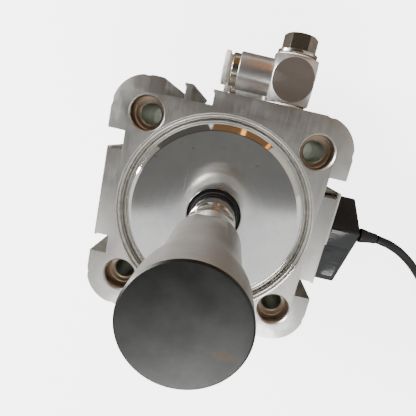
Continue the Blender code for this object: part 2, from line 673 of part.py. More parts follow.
def build_switch(black, lens, steel):
    low_x, high_x = SWITCH_X
    axis = empty("switch_axis", (0.0, *SWITCH_CORNER), (SWITCH_TILT, 0.0, 0.0))
    shell = block((low_x, -SWITCH_LENGTH, -SWITCH_WIDTH), (high_x, 0.0, 0.0), 0.9, 2)
    housing = add_object("switch_housing", shell, black, axis)
    screw_hole = [(0.0, 30.0), (1.9, 30.0), (1.9, high_x - 3.0), (3.5, high_x - 3.0),
                  (3.5, high_x + 1.0), (0.0, high_x + 1.0)]
    window = block((high_x - 0.8, -22.5, -6.2), (high_x + 1.0, -18.5, -4.0))
    label = block((low_x + 1.4, -24.5, -0.25), (high_x - 1.4, -8.0, 1.0))
    combine(housing, [along_x(screw_hole, STEPS_TINY, black, "screw_cutter", SCREW_AT, axis),
                      add_object("window_cutter", window, black, axis),
                      add_object("label_cutter", label, black, axis)])
    add_object("switch_window", block((high_x - 0.5, -22.2, -5.9), (high_x + 0.1, -18.8, -4.3)),
               lens, axis)
    tip = LAND_X + 0.2
    head_low = high_x - 2.7
    screw = along_x([(0.0, tip), (1.2, tip), (1.5, tip + 0.3), (1.5, head_low), (3.1, head_low),
                     (3.1, high_x - 0.6), (2.7, high_x - 0.1), (0.0, high_x - 0.1)],
                    STEPS_TINY, steel, "switch_screw", SCREW_AT, axis)
    slot = block((high_x - 1.2, SCREW_AT[0] - 4.0, SCREW_AT[1] - 0.4),
                 (high_x + 1.0, SCREW_AT[0] + 4.0, SCREW_AT[1] + 0.4))
    combine(screw, [add_object("slot_cutter", slot, steel, axis)])


def build_bracket(steel):
    """The clip that grips both slots of the side face; its front tongue reaches forward."""
    low_x, high_x = PLATE_X
    hook = SLOT_LOW + LIP + GAP
    outer = hook + 1.0
    deep = SLOT_FLOOR + 1.6
    outline = [(high_x, -outer), (high_x, outer), (deep, outer), (deep, hook),
               (low_x, hook), (low_x, -hook), (deep, -hook), (deep, -outer)]
    bracket = add_object("switch_bracket", prism(outline, 30.0, 56.5), steel)
    trim = block((30.0, -20.0, 50.5), (45.0, -1.5, 60.0))
    hook_trim = block((30.0, hook - 1.0, 51.5), (low_x - 0.1, 20.0, 60.0))
    _, y, z = switch_point(*SCREW_AT)
    hole = along_x([(0.0, 30.0), (1.8, 30.0), (1.8, 50.0), (0.0, 50.0)], STEPS_TINY, steel,
                   "hole_cutter", (y, z))
    combine(bracket, [add_object("trim_cutter", trim, steel),
                      add_object("hook_cutter", hook_trim, steel), hole])


def build_relief(black):
    _, y, z = switch_point(*RELIEF_AT)
    high_x = SWITCH_X[1]
    low = high_x + GAP
    profile = [(0.0, low), (2.6, low), (2.6, low + 1.0), (1.8, high_x + 6.3), (0.0, high_x + 6.3)]
    along_x(profile, 12, black, "cable_relief", (y, z))


# ---------------------------------------------------------------- cable, coil and plug

def build_cord(jacket, black, gold, tie):
    cable("switch_cable", CABLE_ROUTE, jacket)
    inner = COIL_MEAN_R - COIL_HALF
    outer = COIL_MEAN_R + COIL_HALF
    low = COIL_BASE
    high = COIL_BASE + 2 * COIL_HALF
    centre = (*COIL_CENTRE, 0.0)
    ring("cable_coil", inner, outer, low, high, jacket, STEPS_PISTON, location=centre)
    cable("cable_tail", TAIL_ROUTE, jacket)
    wall = 0.6
    band = [(inner - GAP, low - GAP), (outer + GAP, low - GAP), (outer + GAP, high + GAP),
            (inner - GAP, high + GAP)]
    shell = [(inner - GAP - wall, low - GAP - wall), (outer + GAP + wall, low - GAP - wall),
             (outer + GAP + wall, high + GAP + wall), (inner - GAP - wall, high + GAP + wall)]
    strap = add_object("cable_tie", prism(shell, -2.0, 2.0), tie, None, centre, (pi / 2, 0.0, 0.0))
    hole = add_object("tie_cutter", prism(band, -3.0, 3.0), tie, None, centre, (pi / 2, 0.0, 0.0))
    combine(strap, [hole])
    strap.rotation_euler = (pi / 2, 0.0, radians(75))
    plug = [(0.0, 0.0), (1.9, 0.0), (2.6, 7.0), (3.6, 8.5), (PLUG_R, 9.5), (PLUG_R, 17.0),
            (PLUG_R - 0.5, 17.5), (PLUG_R - 0.5, 18.5), (PLUG_R, 19.0), (PLUG_R, PLUG_LENGTH),
            (3.4, PLUG_LENGTH), (3.4, 21.0), (0.0, 21.0)]
    place = {"location": PLUG_START, "rotation": (-pi / 2, 0.0, 0.0)}
    add_object("cable_plug", turned(plug, STEPS_SMALL), black, **place)
    insert = [(0.0, 21.3), (3.1, 21.3), (3.1, 23.5), (1.6, 23.5), (1.6, 26.0), (0.0, 26.0)]
    add_object("plug_contacts", turned(insert, 12), gold, **place)


def main():
    clear_scene()
    aluminium = material("extruded_aluminium", (0.60, 0.59, 0.57), 0.42, 1.0)
    polished = material("turned_aluminium", (0.78, 0.78, 0.78), 0.18, 1.0)
    steel = material("turned_steel", (0.50, 0.49, 0.47), 0.30, 1.0)
    chrome = material("chromed_rod", (0.70, 0.69, 0.67), 0.10, 1.0)
    nickel = material("nickel_plate", (0.72, 0.68, 0.60), 0.16, 1.0)
    spring = material("spring_steel", (0.42, 0.40, 0.36), 0.30, 1.0)
    rubber = material("black_rubber", (0.02, 0.02, 0.02), 0.55, 0.0)
    black = material("black_plastic", (0.03, 0.03, 0.035), 0.38, 0.0)
    white = material("white_plastic", (0.86, 0.86, 0.82), 0.35, 0.0)
    bronze = material("sintered_bronze", (0.55, 0.36, 0.18), 0.45, 1.0)
    magnet = material("magnet_rubber", (0.10, 0.09, 0.09), 0.60, 0.0)
    jacket = material("cable_jacket", (0.02, 0.02, 0.022), 0.45, 0.0)
    build_body(aluminium)
    build_front_cover(polished)
    build_rear_cover(aluminium)
    build_snap_rings(spring)
    build_cover_seals(rubber, bronze)
    rod_axis = empty("rod_axis", (0.0, 0.0, 0.0))
    build_piston(rod_axis, aluminium, rubber, white, magnet)
    build_piston_screw(rod_axis, steel)
    build_rod(rod_axis, chrome)
    build_lock_nut(rod_axis, nickel)
    build_extension(rod_axis, steel)
    for end in PORT_Z:
        build_fitting(end, nickel, aluminium, white, rubber, steel)
    build_switch(black, white, steel)
    build_bracket(nickel)
    build_relief(black)
    build_cord(jacket, black, nickel, white)


main()
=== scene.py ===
"""Visual model of a compact pneumatic cylinder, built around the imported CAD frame.

Lengths are in millimetres in the building functions and become metres in finish_piece.
The frame's origin is the centre of the rear face, +Z runs along the rod, +Y points to the
side with the air fittings and +X to the side with the proximity switch.
"""
from math import cos, floor, pi, radians, sin, sqrt, tan

import bmesh
import bpy
from mathutils import Matrix, Vector


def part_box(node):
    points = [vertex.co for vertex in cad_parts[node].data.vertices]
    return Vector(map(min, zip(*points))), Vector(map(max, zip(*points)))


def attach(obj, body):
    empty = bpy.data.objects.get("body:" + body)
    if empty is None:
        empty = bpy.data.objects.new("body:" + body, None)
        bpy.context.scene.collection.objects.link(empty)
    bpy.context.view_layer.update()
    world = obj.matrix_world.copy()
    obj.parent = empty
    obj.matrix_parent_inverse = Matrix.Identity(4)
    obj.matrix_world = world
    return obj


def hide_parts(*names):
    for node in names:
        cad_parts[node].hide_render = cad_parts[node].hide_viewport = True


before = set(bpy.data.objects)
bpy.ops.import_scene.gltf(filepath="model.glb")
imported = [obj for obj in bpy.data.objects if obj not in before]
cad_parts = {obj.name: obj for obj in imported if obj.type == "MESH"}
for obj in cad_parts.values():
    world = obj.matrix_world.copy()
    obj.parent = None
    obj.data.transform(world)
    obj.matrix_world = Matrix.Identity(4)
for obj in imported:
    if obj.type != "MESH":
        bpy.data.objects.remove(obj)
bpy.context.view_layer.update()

MM = 0.001


def node_box(node):
    """The lowest and highest corners of a CAD node, in millimetres."""
    low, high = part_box(node)
    return [value / MM for value in low], [value / MM for value in high]


# ---------------------------------------------------------------- driving dimensions

BODY_LOW, BODY_HIGH = node_box("cylinder_body")
HALF = BODY_HIGH[0]
LENGTH = BODY_HIGH[2]
HOLE_XY = 28.25
CORNER_R = HALF - HOLE_XY
LAND = 39.3
SLOT_LOW = 15.0
SLOT_HIGH = 21.3
SLOT_FLOOR = 34.3
LIP = 0.5
LIP_DEPTH = 0.8
TOP_FLOOR = 35.1
TOP_SLOT_OUTER = (-23.7, -17.4)
TOP_SLOT_INNER = (-15.5, -8.2)
COUNTERBORE_R = 5.5
COUNTERBORE_DEPTH = 7.0
MOUNT_HOLE_R = 3.5
SEAT_R = 33.4
BORE_R = 31.5
DISC_R = 28.4                  # flat of the front cover, inside its chamfer
PORT_X = 15.5
PORT_Z = {"front": LENGTH - 14.0, "rear": 14.0}
ROD_R = 7.5
ROD_FRONT = node_box("piston_rod")[1][2]
NUT_LOW, NUT_HIGH = node_box("rod_lock_nut")[0][2], node_box("rod_lock_nut")[1][2]
SHAFT_REAR = 98.0
SHAFT_R = 8.9
FLARE = (118.0, 132.0)
HEAD_R = 10.45
HEAD_FRONT = node_box("rod_extension")[1][2]
BARREL_Z = 8.9
SWITCH_TILT = radians(30.5)
SWITCH_CORNER = (4.5, 55.4)
SCREW_AT = (-13.5, -10.0)
RELIEF_AT = (-1.9, -1.9)
SWITCH_X = (41.1, 52.0)
BOLT_FLATS = 10.0
BOLT_TURN = radians(54)
NUT_FLATS = 13.0
NUT_TURN = radians(94)
GROOVE_R = 34.3
ELBOW_HALF = 7.0
CABLE_R = 1.5

# ---------------------------------------------------------------- camera

CAMERA_AT = (1.002, 27.957, 191.397)
CAMERA_X = (0.97457, 0.21925, -0.04624)
CAMERA_Y = (-0.22378, 0.94186, -0.25066)
CAMERA_Z = (-0.01140, 0.25464, 0.96697)
LENS = 34.13
SENSOR = 36.0
LENS_SHIFT = (-0.020, 0.069)


def add_object(name, data):
    made = bpy.data.objects.new(name, data)
    bpy.context.scene.collection.objects.link(made)
    return made


def make_camera():
    data = bpy.data.cameras.new("camera")
    data.sensor_width = SENSOR
    data.lens = LENS
    data.shift_x, data.shift_y = LENS_SHIFT
    data.clip_start = 0.005
    data.clip_end = 20.0
    camera = add_object("camera", data)
    axes = Matrix((CAMERA_X, CAMERA_Y, CAMERA_Z)).transposed()
    camera.matrix_world = Matrix.Translation(Vector(CAMERA_AT) * MM) @ axes.to_4x4()
    bpy.context.scene.camera = camera


make_camera()


# ---------------------------------------------------------------- node helpers for materials

class Shade:
    """A material under construction: its node tree, its Principled shader and small helpers."""

    def __init__(self, name, color, roughness, metallic=0.0, **sockets):
        self.material = bpy.data.materials.new(name)
        self.material.use_nodes = True
        self.tree = self.material.node_tree
        self.shader = self.tree.nodes["Principled BSDF"]
        self.set("Base Color", (*color, 1.0))
        self.set("Roughness", roughness)
        self.set("Metallic", metallic)
        for socket, value in sockets.items():
            self.set(socket.replace("_", " "), value)
        self.normal = None

    def set(self, socket, value):
        self.shader.inputs[socket].default_value = value

    def node(self, kind, **values):
        made = self.tree.nodes.new(kind)
        for key, value in values.items():
            setattr(made, key, value)
        return made

    def link(self, source, target):
        self.tree.links.new(source, target)

    def math(self, operation, a, b=None, c=None):
        made = self.node("ShaderNodeMath", operation=operation)
        for index, value in enumerate((a, b, c)):
            if value is None:
                continue
            if isinstance(value, (int, float)):
                made.inputs[index].default_value = value
            else:
                self.link(value, made.inputs[index])
        return made.outputs[0]

    def place(self, stretch=(1.0, 1.0, 1.0), offset=(0.0, 0.0, 0.0)):
        """The row frame's position in millimetres, times stretch, plus offset."""
        source = self.node("ShaderNodeTexCoord")
        scaled = self.node("ShaderNodeMapping")
        scaled.inputs["Scale"].default_value = [value / MM for value in stretch]
        scaled.inputs["Location"].default_value = offset
        self.link(source.outputs["Object"], scaled.inputs["Vector"])
        return scaled.outputs["Vector"]

    def noise(self, per_mm, detail=3.0, stretch=(1.0, 1.0, 1.0), offset=(0.0, 0.0, 0.0), rough=0.55):
        made = self.node("ShaderNodeTexNoise")
        made.inputs["Scale"].default_value = per_mm
        made.inputs["Detail"].default_value = detail
        made.inputs["Roughness"].default_value = rough
        self.link(self.place(stretch, offset), made.inputs["Vector"])
        return made.outputs["Fac"]

    def ramp(self, source, low, high, from_value=0.0, to_value=1.0):
        """Source mapped from low..high to from_value..to_value with a smooth step."""
        made = self.node("ShaderNodeMapRange", interpolation_type="SMOOTHSTEP")
        self.link(source, made.inputs["Value"])
        made.inputs["From Min"].default_value = low
        made.inputs["From Max"].default_value = high
        made.inputs["To Min"].default_value = from_value
        made.inputs["To Max"].default_value = to_value
        return made.outputs["Result"]

    def mix(self, factor, first, second):
        """A colour between two colours, each a tuple or a socket."""
        made = self.node("ShaderNodeMix", data_type="RGBA")
        self.link(factor, made.inputs["Factor"])
        for index, value in ((6, first), (7, second)):
            if isinstance(value, tuple):
                made.inputs[index].default_value = (*value, 1.0)
            else:
                self.link(value, made.inputs[index])
        return made.outputs[2]

    def paint(self, socket, source):
        self.link(source, self.shader.inputs[socket])

    def bump(self, height, depth_mm, strength=1.0):
        """Stack one bump of a depth in millimetres on those already there."""
        made = self.node("ShaderNodeBump")
        made.inputs["Strength"].default_value = strength
        made.inputs["Distance"].default_value = depth_mm * MM
        self.link(height, made.inputs["Height"])
        if self.normal is not None:
            self.link(self.normal, made.inputs["Normal"])
        self.normal = made.outputs["Normal"]
        self.link(self.normal, self.shader.inputs["Normal"])

    def scaled(self, source, factor, plus):
        """Source times factor, plus a number."""
        return self.math("ADD", self.math("MULTIPLY", source, factor), plus)

    def length(self, a, b):
        """The length of a vector with two parts."""
        return self.math("SQRT", self.math("ADD", self.math("MULTIPLY", a, a),
                                           self.math("MULTIPLY", b, b)))

    def position(self):
        """The three coordinates in the row frame, in millimetres."""
        split = self.node("ShaderNodeSeparateXYZ")
        self.link(self.place(), split.inputs["Vector"])
        return split.outputs

    def mottle(self, source, low, high, first, second):
        """Colour the surface between two colours where the source runs from low to high."""
        self.paint("Base Color", self.mix(self.ramp(source, low, high), first, second))

    def radius(self, centre=(0.0, 0.0), axes=(0, 1)):
        """Distance in millimetres from an axis parallel to the third coordinate."""
        at = self.position()
        return self.length(*(self.math("SUBTRACT", at[axis], middle) for axis, middle in zip(axes, centre)))

    def rings(self, per_mm, centre=(0.0, 0.0), axes=(0, 1), detail=2.0):
        """Noise that varies only with the distance from an axis, as a lathe tool leaves."""
        joined = self.node("ShaderNodeCombineXYZ")
        self.link(self.radius(centre, axes), joined.inputs["X"])
        made = self.node("ShaderNodeTexNoise")
        made.inputs["Scale"].default_value = per_mm
        made.inputs["Detail"].default_value = detail
        self.link(joined.outputs["Vector"], made.inputs["Vector"])
        return made.outputs["Fac"]

    def turned(self, amount, axis="Z"):
        """Stretch highlights across the tool marks of a piece turned about its own axis."""
        tangent = self.node("ShaderNodeTangent", direction_type="RADIAL", axis=axis)
        self.link(tangent.outputs["Tangent"], self.shader.inputs["Tangent"])
        self.set("Anisotropic", amount)


def shade_color(color, gain):
    return tuple(min(1.0, value * gain) for value in color)


# ---------------------------------------------------------------- materials

def cut_face_aluminium():
    """Satin extruded aluminium: sawn end faces, extrusion lines along Z, stains and scratches."""
    color = (0.50, 0.49, 0.465)
    made = Shade("body_aluminium", color, 0.34, 1.0)
    stain = made.ramp(made.noise(0.16, 5.0, rough=0.65), 0.42, 0.68)
    grey = made.mix(stain, color, shade_color(color, 0.80))
    speck = made.ramp(made.noise(1.1, 3.0, offset=(40.0, 9.0, 3.0)), 0.68, 0.80)
    marked = made.mix(speck, grey, (0.38, 0.35, 0.31))
    at = made.position()
    dx = made.math("SUBTRACT", made.math("ABSOLUTE", at[0]), HOLE_XY)
    dy = made.math("SUBTRACT", made.math("ABSOLUTE", at[1]), HOLE_XY)
    off_axis = made.length(dx, dy)
    in_hole = made.ramp(off_axis, COUNTERBORE_R + 0.05, COUNTERBORE_R + 0.35, 1.0, 0.0)
    below = made.ramp(made.math("ABSOLUTE", made.math("SUBTRACT", at[2], LENGTH / 2)),
                      LENGTH / 2 - 0.9, LENGTH / 2 - 0.5, 1.0, 0.0)
    # Counterbore walls painted brown as a painted reflection of the brown bench; the through-hole wall stays
    # a plain grey.
    painted_hole_reflection = made.math("MULTIPLY", in_hole, below)
    wall = made.mix(made.ramp(off_axis, MOUNT_HOLE_R + 0.1, MOUNT_HOLE_R + 0.6), (0.50, 0.51, 0.46),
                    (0.44, 0.365, 0.29))
    made.paint("Base Color", made.mix(painted_hole_reflection, marked, wall))
    lines = made.noise(1.4, 3.0, stretch=(1.0, 1.0, 0.02))
    saw = made.noise(1.6, 4.0, stretch=(1.0, 0.06, 0.3), offset=(3.0, 0.0, 7.0))
    rough = made.math("ADD", made.math("MULTIPLY", saw, 0.16), made.math("MULTIPLY", stain, 0.10))
    made.paint("Roughness", made.math("ADD", rough, 0.27))
    made.bump(lines, 0.030, 0.5)
    made.bump(saw, 0.022, 0.5)
    made.bump(made.noise(5.0, 4.0), 0.010, 0.6)
    dents = made.ramp(made.noise(0.55, 2.0, offset=(11.0, 5.0, 2.0)), 0.68, 0.80)
    made.bump(dents, -0.03, 0.5)
    return made.material


def mirror_turned():
    """The front cover's fine-turned face."""
    color = (0.80, 0.80, 0.785)
    made = Shade("turned_cover", color, 0.20, 1.0)
    coarse = made.rings(1.1)
    fine = made.rings(7.0, detail=4.0)
    cloud = made.noise(0.10, 4.0)
    tint = made.mix(made.ramp(cloud, 0.38, 0.66), color, (0.73, 0.735, 0.74))
    spots = made.ramp(made.noise(0.9, 2.0, offset=(5.0, 2.0, 0.0)), 0.68, 0.76)
    made.paint("Base Color", made.mix(spots, tint, (0.52, 0.50, 0.46)))
    rough = made.math("ADD", made.math("MULTIPLY", coarse, 0.06), made.math("MULTIPLY", cloud, 0.08))
    rim = made.ramp(made.radius((0.0, 0.0), (0, 1)), DISC_R - 0.2, DISC_R + 0.2, 1.0, 0.35)
    made.paint("Roughness", made.math("MULTIPLY", made.math("ADD", rough, 0.05), rim))
    made.turned(0.75)
    made.bump(coarse, 0.008, 0.35)
    made.bump(fine, 0.003, 0.35)
    made.bump(made.noise(0.16, 3.0), 0.02, 0.30)
    scratch = made.ramp(made.noise(0.9, 2.0, stretch=(1.0, 0.05, 1.0)), 0.70, 0.74)
    made.bump(scratch, -0.006, 0.5)
    return made.material


def satin_turned(name, color, base, axis="Z", centre=(0.0, 0.0), axes=(0, 1), marks=5.0):
    """Turned steel or aluminium with rings on faces and along the length."""
    made = Shade(name, color, base, 1.0)
    faces = made.rings(marks, centre, axes, 3.0)
    along = {"Z": (0.02, 0.02, 1.0), "X": (1.0, 0.02, 0.02), "Y": (0.02, 1.0, 0.02)}[axis]
    length = made.noise(marks * 0.8, 3.0, stretch=along)
    cloud = made.noise(0.22, 4.0, offset=(2.0, 8.0, 1.0))
    made.mottle(cloud, 0.35, 0.70, color, shade_color(color, 0.84))
    rough = made.math("ADD", made.math("MULTIPLY", length, 0.10), made.math("MULTIPLY", cloud, 0.12))
    made.paint("Roughness", made.math("ADD", rough, base - 0.11))
    made.turned(0.55, axis)
    made.bump(faces, 0.006, 0.6)
    made.bump(length, 0.008, 0.6)
    made.bump(made.noise(3.0, 4.0), 0.006, 0.5)
    return made


def extension_steel():
    """The rod extension's satin turned side."""
    made = Shade("extension_steel", (0.58, 0.565, 0.54), 0.36, 0.82)
    cloud = made.noise(0.22, 4.0, offset=(2.0, 8.0, 1.0))
    made.mottle(cloud, 0.35, 0.70, (0.58, 0.565, 0.54), (0.51, 0.495, 0.47))
    length = made.noise(3.0, 3.0, stretch=(0.02, 0.02, 1.0))
    rough = made.math("ADD", made.math("MULTIPLY", length, 0.06), made.math("MULTIPLY", cloud, 0.08))
    made.paint("Roughness", made.math("ADD", rough, 0.30))
    made.turned(0.45)
    made.bump(length, 0.002, 0.5)
    made.bump(made.noise(3.0, 4.0), 0.004, 0.5)
    return made.material


def extension_end_painted_dark():
    """The extension's ground end face, painted near-black as a painted dark reflection, with a faint real
    rust spot.
    """
    # Near-black base colour: a painted dark reflection, not the steel's own tone.
    made = Shade("extension_end_painted_dark", (0.050, 0.050, 0.048), 0.36, 1.0)
    cloud = made.noise(0.22, 4.0)
    made.mottle(cloud, 0.30, 0.72, (0.044, 0.044, 0.042), (0.056, 0.056, 0.054))
    made.paint("Roughness", made.scaled(cloud, 0.08, 0.28))
    made.bump(made.rings(4.0, detail=3.0), 0.006, 0.4)
    made.bump(made.noise(2.5, 4.0), 0.008, 0.5)
    at = made.position()
    dx = made.math("MULTIPLY", made.math("SUBTRACT", at[0], 6.5), 0.6)
    dy = made.math("MULTIPLY", made.math("ADD", at[1], 2.9), 1.6)
    distance = made.length(dx, dy)
    near = made.math("ADD", distance, made.math("MULTIPLY", made.noise(1.2), 1.6))
    on_face = made.math("GREATER_THAN", at[2], HEAD_FRONT - 0.5)
    rust = made.math("MULTIPLY", made.ramp(near, 1.3, 2.4, 1.0, 0.0), on_face)
    source = made.shader.inputs["Base Color"].links[0].from_socket
    made.paint("Base Color", made.mix(made.math("MULTIPLY", rust, 0.28), source, (0.10, 0.062, 0.036)))
    return made.material


def plated(name, color, base):
    """Bright plating with a soft orange peel and handling marks."""
    made = Shade(name, color, base, 1.0)
    cloud = made.noise(0.5, 4.0)
    made.mottle(cloud, 0.36, 0.66, color, shade_color(color, 0.82))
    made.paint("Roughness", made.scaled(cloud, 0.16, base - 0.06))
    made.bump(made.noise(1.3, 2.0), 0.020, 0.35)
    scratch = made.ramp(made.noise(1.6, 2.0, stretch=(0.15, 1.0, 1.0)), 0.66, 0.71)
    made.bump(scratch, -0.010, 0.5)
    return made.material


def tumbled_aluminium(name, end):
    """The elbow body: bright satin barrel and cube, with its turned end face painted dark brown-grey as a
    painted reflection.
    """
    color = (0.74, 0.745, 0.74)
    made = Shade(name, color, 0.34, 1.0)
    z = PORT_Z[end]
    at = made.position()
    off_axis = made.math("ABSOLUTE", made.math("SUBTRACT", at[2], z))
    on_face = made.ramp(off_axis, 6.90, 6.97)
    radial = made.radius((PORT_X, HALF + BARREL_Z), (0, 1))
    inside = made.ramp(radial, 6.9, 7.05, 1.0, 0.0)
    face = made.math("MULTIPLY", on_face, inside)
    cloud = made.noise(0.35, 4.0)
    bright = made.mix(made.ramp(cloud, 0.36, 0.66), color, shade_color(color, 0.86))
    # Turned end face: dark brown-grey painted reflection in the base colour.
    made.paint("Base Color", made.mix(face, bright, (0.21, 0.187, 0.168)))
    rough = made.math("ADD", made.math("MULTIPLY", cloud, 0.12), 0.26)
    made.paint("Roughness", made.math("ADD", rough, made.math("MULTIPLY", face, 0.22)))
    made.bump(made.noise(1.2, 3.0, stretch=(1.0, 0.05, 0.05)), 0.010, 0.6)
    made.bump(made.noise(6.0, 3.0), 0.008, 0.6)
    return made.material


def spring_wire():
    made = Shade("spring_wire", (0.52, 0.50, 0.46), 0.34, 1.0)
    fine = made.rings(9.0, detail=4.0)
    cloud = made.noise(0.4, 4.0)
    made.mottle(cloud, 0.36, 0.66, (0.54, 0.52, 0.48), (0.43, 0.41, 0.37))
    made.paint("Roughness", made.scaled(cloud, 0.25, 0.22))
    made.bump(fine, 0.02, 0.6)
    return made.material


def plastic(name, color, base, grain=6.0, depth=0.010, **sockets):
    """Moulded plastic with a fine grain, faint mottling and uneven gloss."""
    made = Shade(name, color, base, 0.0, **sockets)
    cloud = made.noise(0.35, 4.0)
    made.mottle(cloud, 0.35, 0.65, color, shade_color(color, 0.78))
    made.paint("Roughness", made.scaled(cloud, 0.14, base - 0.07))
    made.bump(made.noise(grain, 4.0), depth, 0.6)
    return made


def cable_jacket():
    """PVC jacket with faint lengthwise waviness from the stranded cores."""
    made = plastic("cable_jacket", (0.010, 0.010, 0.011), 0.36, 5.0, 0.008, Specular_IOR_Level=0.28)
    made.bump(made.noise(0.6, 2.0), 0.05, 0.5)
    return made.material


def switch_moulding():
    """The switch's glossy black moulding, uneven enough to break its reflections into streaks."""
    made = plastic("switch_moulding", (0.016, 0.017, 0.019), 0.18, 4.0, 0.008, Specular_IOR_Level=0.42)
    made.bump(made.noise(0.55, 3.0, stretch=(0.25, 1.0, 0.6)), 0.22, 0.7)
    return made.material


def rubber(name="seal_rubber"):
    return plastic(name, (0.018, 0.018, 0.019), 0.55, 3.0, 0.015).material


def bronze():
    made = Shade("oiled_bronze", (0.46, 0.29, 0.15), 0.45, 1.0)
    pores = made.ramp(made.noise(7.0, 3.0), 0.56, 0.66)
    made.paint("Base Color", made.mix(pores, (0.50, 0.32, 0.17), (0.20, 0.12, 0.06)))
    made.paint("Roughness", made.scaled(pores, 0.3, 0.35))
    made.bump(pores, -0.02, 0.6)
    return made.material


def floor_paper():
    """Seamless white studio paper."""
    made = Shade("studio_paper", (0.92, 0.92, 0.92), 0.85)
    made.bump(made.noise(0.8, 4.0), 0.03, 0.2)
    made.set("Emission Color", (1.0, 1.0, 1.0, 1.0))
    made.set("Emission Strength", 3.5)
    return made.material


def bench_top():
    """The brown bench that the metal reflects."""
    made = Shade("bench_top", (0.34, 0.30, 0.26), 0.6)
    grain = made.noise(0.02, 4.0, stretch=(1.0, 0.15, 1.0))
    made.paint("Base Color", made.mix(grain, (0.38, 0.335, 0.29), (0.28, 0.245, 0.21)))
    return made.material


# ---------------------------------------------------------------- mesh helpers

def finish_piece(name, work, look, body, node=None, transform=None, angle=30.0):
    """Place a bmesh in the row frame in metres, give it a material and let it ride on a body."""
    if transform is not None:
        work.transform(transform)
    bmesh.ops.scale(work, vec=(MM, MM, MM), verts=work.verts)
    bmesh.ops.recalc_face_normals(work, faces=work.faces)
    mesh = bpy.data.meshes.new(name)
    work.to_mesh(mesh)
    work.free()
    mesh.shade_smooth()
    mesh.set_sharp_from_angle(angle=radians(angle))
    made = add_object(name, mesh)
    made.data.materials.append(look)
    if body:
        register(made, body, node)
    return made


def register(made, body, node):
    """Ride on a body, and stand in for a CAD node, which is hidden."""
    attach(made, body)
    if node:
        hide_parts(node)


def loft(work, rings):
    """Join equal rings of vertices by faces, and close both ends."""
    for below, above in zip(rings, rings[1:]):
        for step, corner in enumerate(below):
            after = (step + 1) % len(below)
            work.faces.new((corner, below[after], above[after], above[step]))
    work.faces.new(rings[0])
    work.faces.new(rings[-1])
    return work


def lathe(profile, steps, closed=False):
    """Revolve (radius, height) points about Z. An open profile starts and ends on the axis."""
    work = bmesh.new()
    rings = []
    for radius, height in profile:
        if radius < 1e-6:
            rings.append([work.verts.new((0.0, 0.0, height))])
            continue
        angles = [2 * pi * step / steps for step in range(steps)]
        rings.append([work.verts.new((radius * cos(a), radius * sin(a), height)) for a in angles])
    pairs = list(zip(rings, rings[1:]))
    if closed:
        pairs.append((rings[-1], rings[0]))
    for low, high in pairs:
        for step in range(steps):
            after = (step + 1) % steps
            corners = [low[step % len(low)], low[after % len(low)],
                       high[after % len(high)], high[step % len(high)]]
            corners = list(dict.fromkeys(corners))
            if len(corners) > 2:
                work.faces.new(corners)
    return work


def rounded(profile, radius, closed=False, steps=3):
    """The profile with each inner corner replaced by a small fillet."""
    count = len(profile)
    made = []
    for index, point in enumerate(profile):
        if not closed and index in (0, count - 1):
            made.append(point)
            continue
        here = Vector(point)
        before = Vector(profile[index - 1]) - here
        after = Vector(profile[(index + 1) % count]) - here
        reach = min(radius, before.length * 0.45, after.length * 0.45)
        start = here + before.normalized() * reach
        end = here + after.normalized() * reach
        for step in range(steps + 1):
            t = step / steps
            bend = start * (1 - t) ** 2 + here * 2 * t * (1 - t) + end * t * t
            made.append((bend.x, bend.y))
    return made


def prism(outline, low, high):
    """Extrude an outline of (x, y) points from height low to height high."""
    work = bmesh.new()
    bottom = [work.verts.new((x, y, low)) for x, y in outline]
    top = [work.verts.new((x, y, high)) for x, y in outline]
    work.faces.new(bottom)
    work.faces.new(top)
    count = len(outline)
    for step in range(count):
        after = (step + 1) % count
        work.faces.new((bottom[step], bottom[after], top[after], top[step]))
    return work


def block(low, high, bevel=0.0, segments=1):
    """A box between two corners, with its edges rounded."""
    work = bmesh.new()
    bmesh.ops.create_cube(work, size=1.0)
    size = [b - a for a, b in zip(low, high)]
    centre = [(a + b) / 2 for a, b in zip(low, high)]
    bmesh.ops.scale(work, vec=size, verts=work.verts)
    bmesh.ops.translate(work, vec=centre, verts=work.verts)
    if bevel:
        bmesh.ops.bevel(work, geom=work.edges[:], offset=bevel, segments=segments,
                        profile=0.5, affect="EDGES", clamp_overlap=True)
    return work


def sharp_bevel(work, offset, segments=2, angle=40.0):
    """Bevel the edges where faces meet at more than the angle."""
    bmesh.ops.recalc_face_normals(work, faces=work.faces)
    edges = [edge for edge in work.edges
             if len(edge.link_faces) == 2 and edge.calc_face_angle(0.0) > radians(angle)]
    bmesh.ops.bevel(work, geom=edges, offset=offset, segments=segments, profile=0.6,
                    affect="EDGES", clamp_overlap=True)
    return work


def arc(centre, radius, start, end, steps):
    """Points along a circle, angles in degrees."""
    angles = [radians(start + (end - start) * step / steps) for step in range(steps + 1)]
    return [(centre[0] + radius * cos(a), centre[1] + radius * sin(a)) for a in angles]


def hexagon(flats, turn=0.0):
    """Outline of a hexagon across its flats, with a corner at the angle turn."""
    radius = flats / sqrt(3)
    return [(radius * cos(turn + pi * k / 3), radius * sin(turn + pi * k / 3)) for k in range(6)]


def combine(target, parts, operation="DIFFERENCE", angle=30.0):
    """Apply one exact Boolean per part to the target, then remove the parts."""
    for part in parts:
        step = target.modifiers.new("step", "BOOLEAN")
        step.operation = operation
        step.object = part
        step.solver = "EXACT"
    bpy.context.view_layer.update()
    graph = bpy.context.evaluated_depsgraph_get()
    mesh = bpy.data.meshes.new_from_object(target.evaluated_get(graph))
    target.modifiers.clear()
    target.data = mesh
    mesh.shade_smooth()
    mesh.set_sharp_from_angle(angle=radians(angle))
    for part in parts:
        bpy.data.objects.remove(part, do_unlink=True)
    return target


def tool(work, look, transform=None):
    """A temporary object for a Boolean."""
    return finish_piece("tool", work, look, None, None, transform)


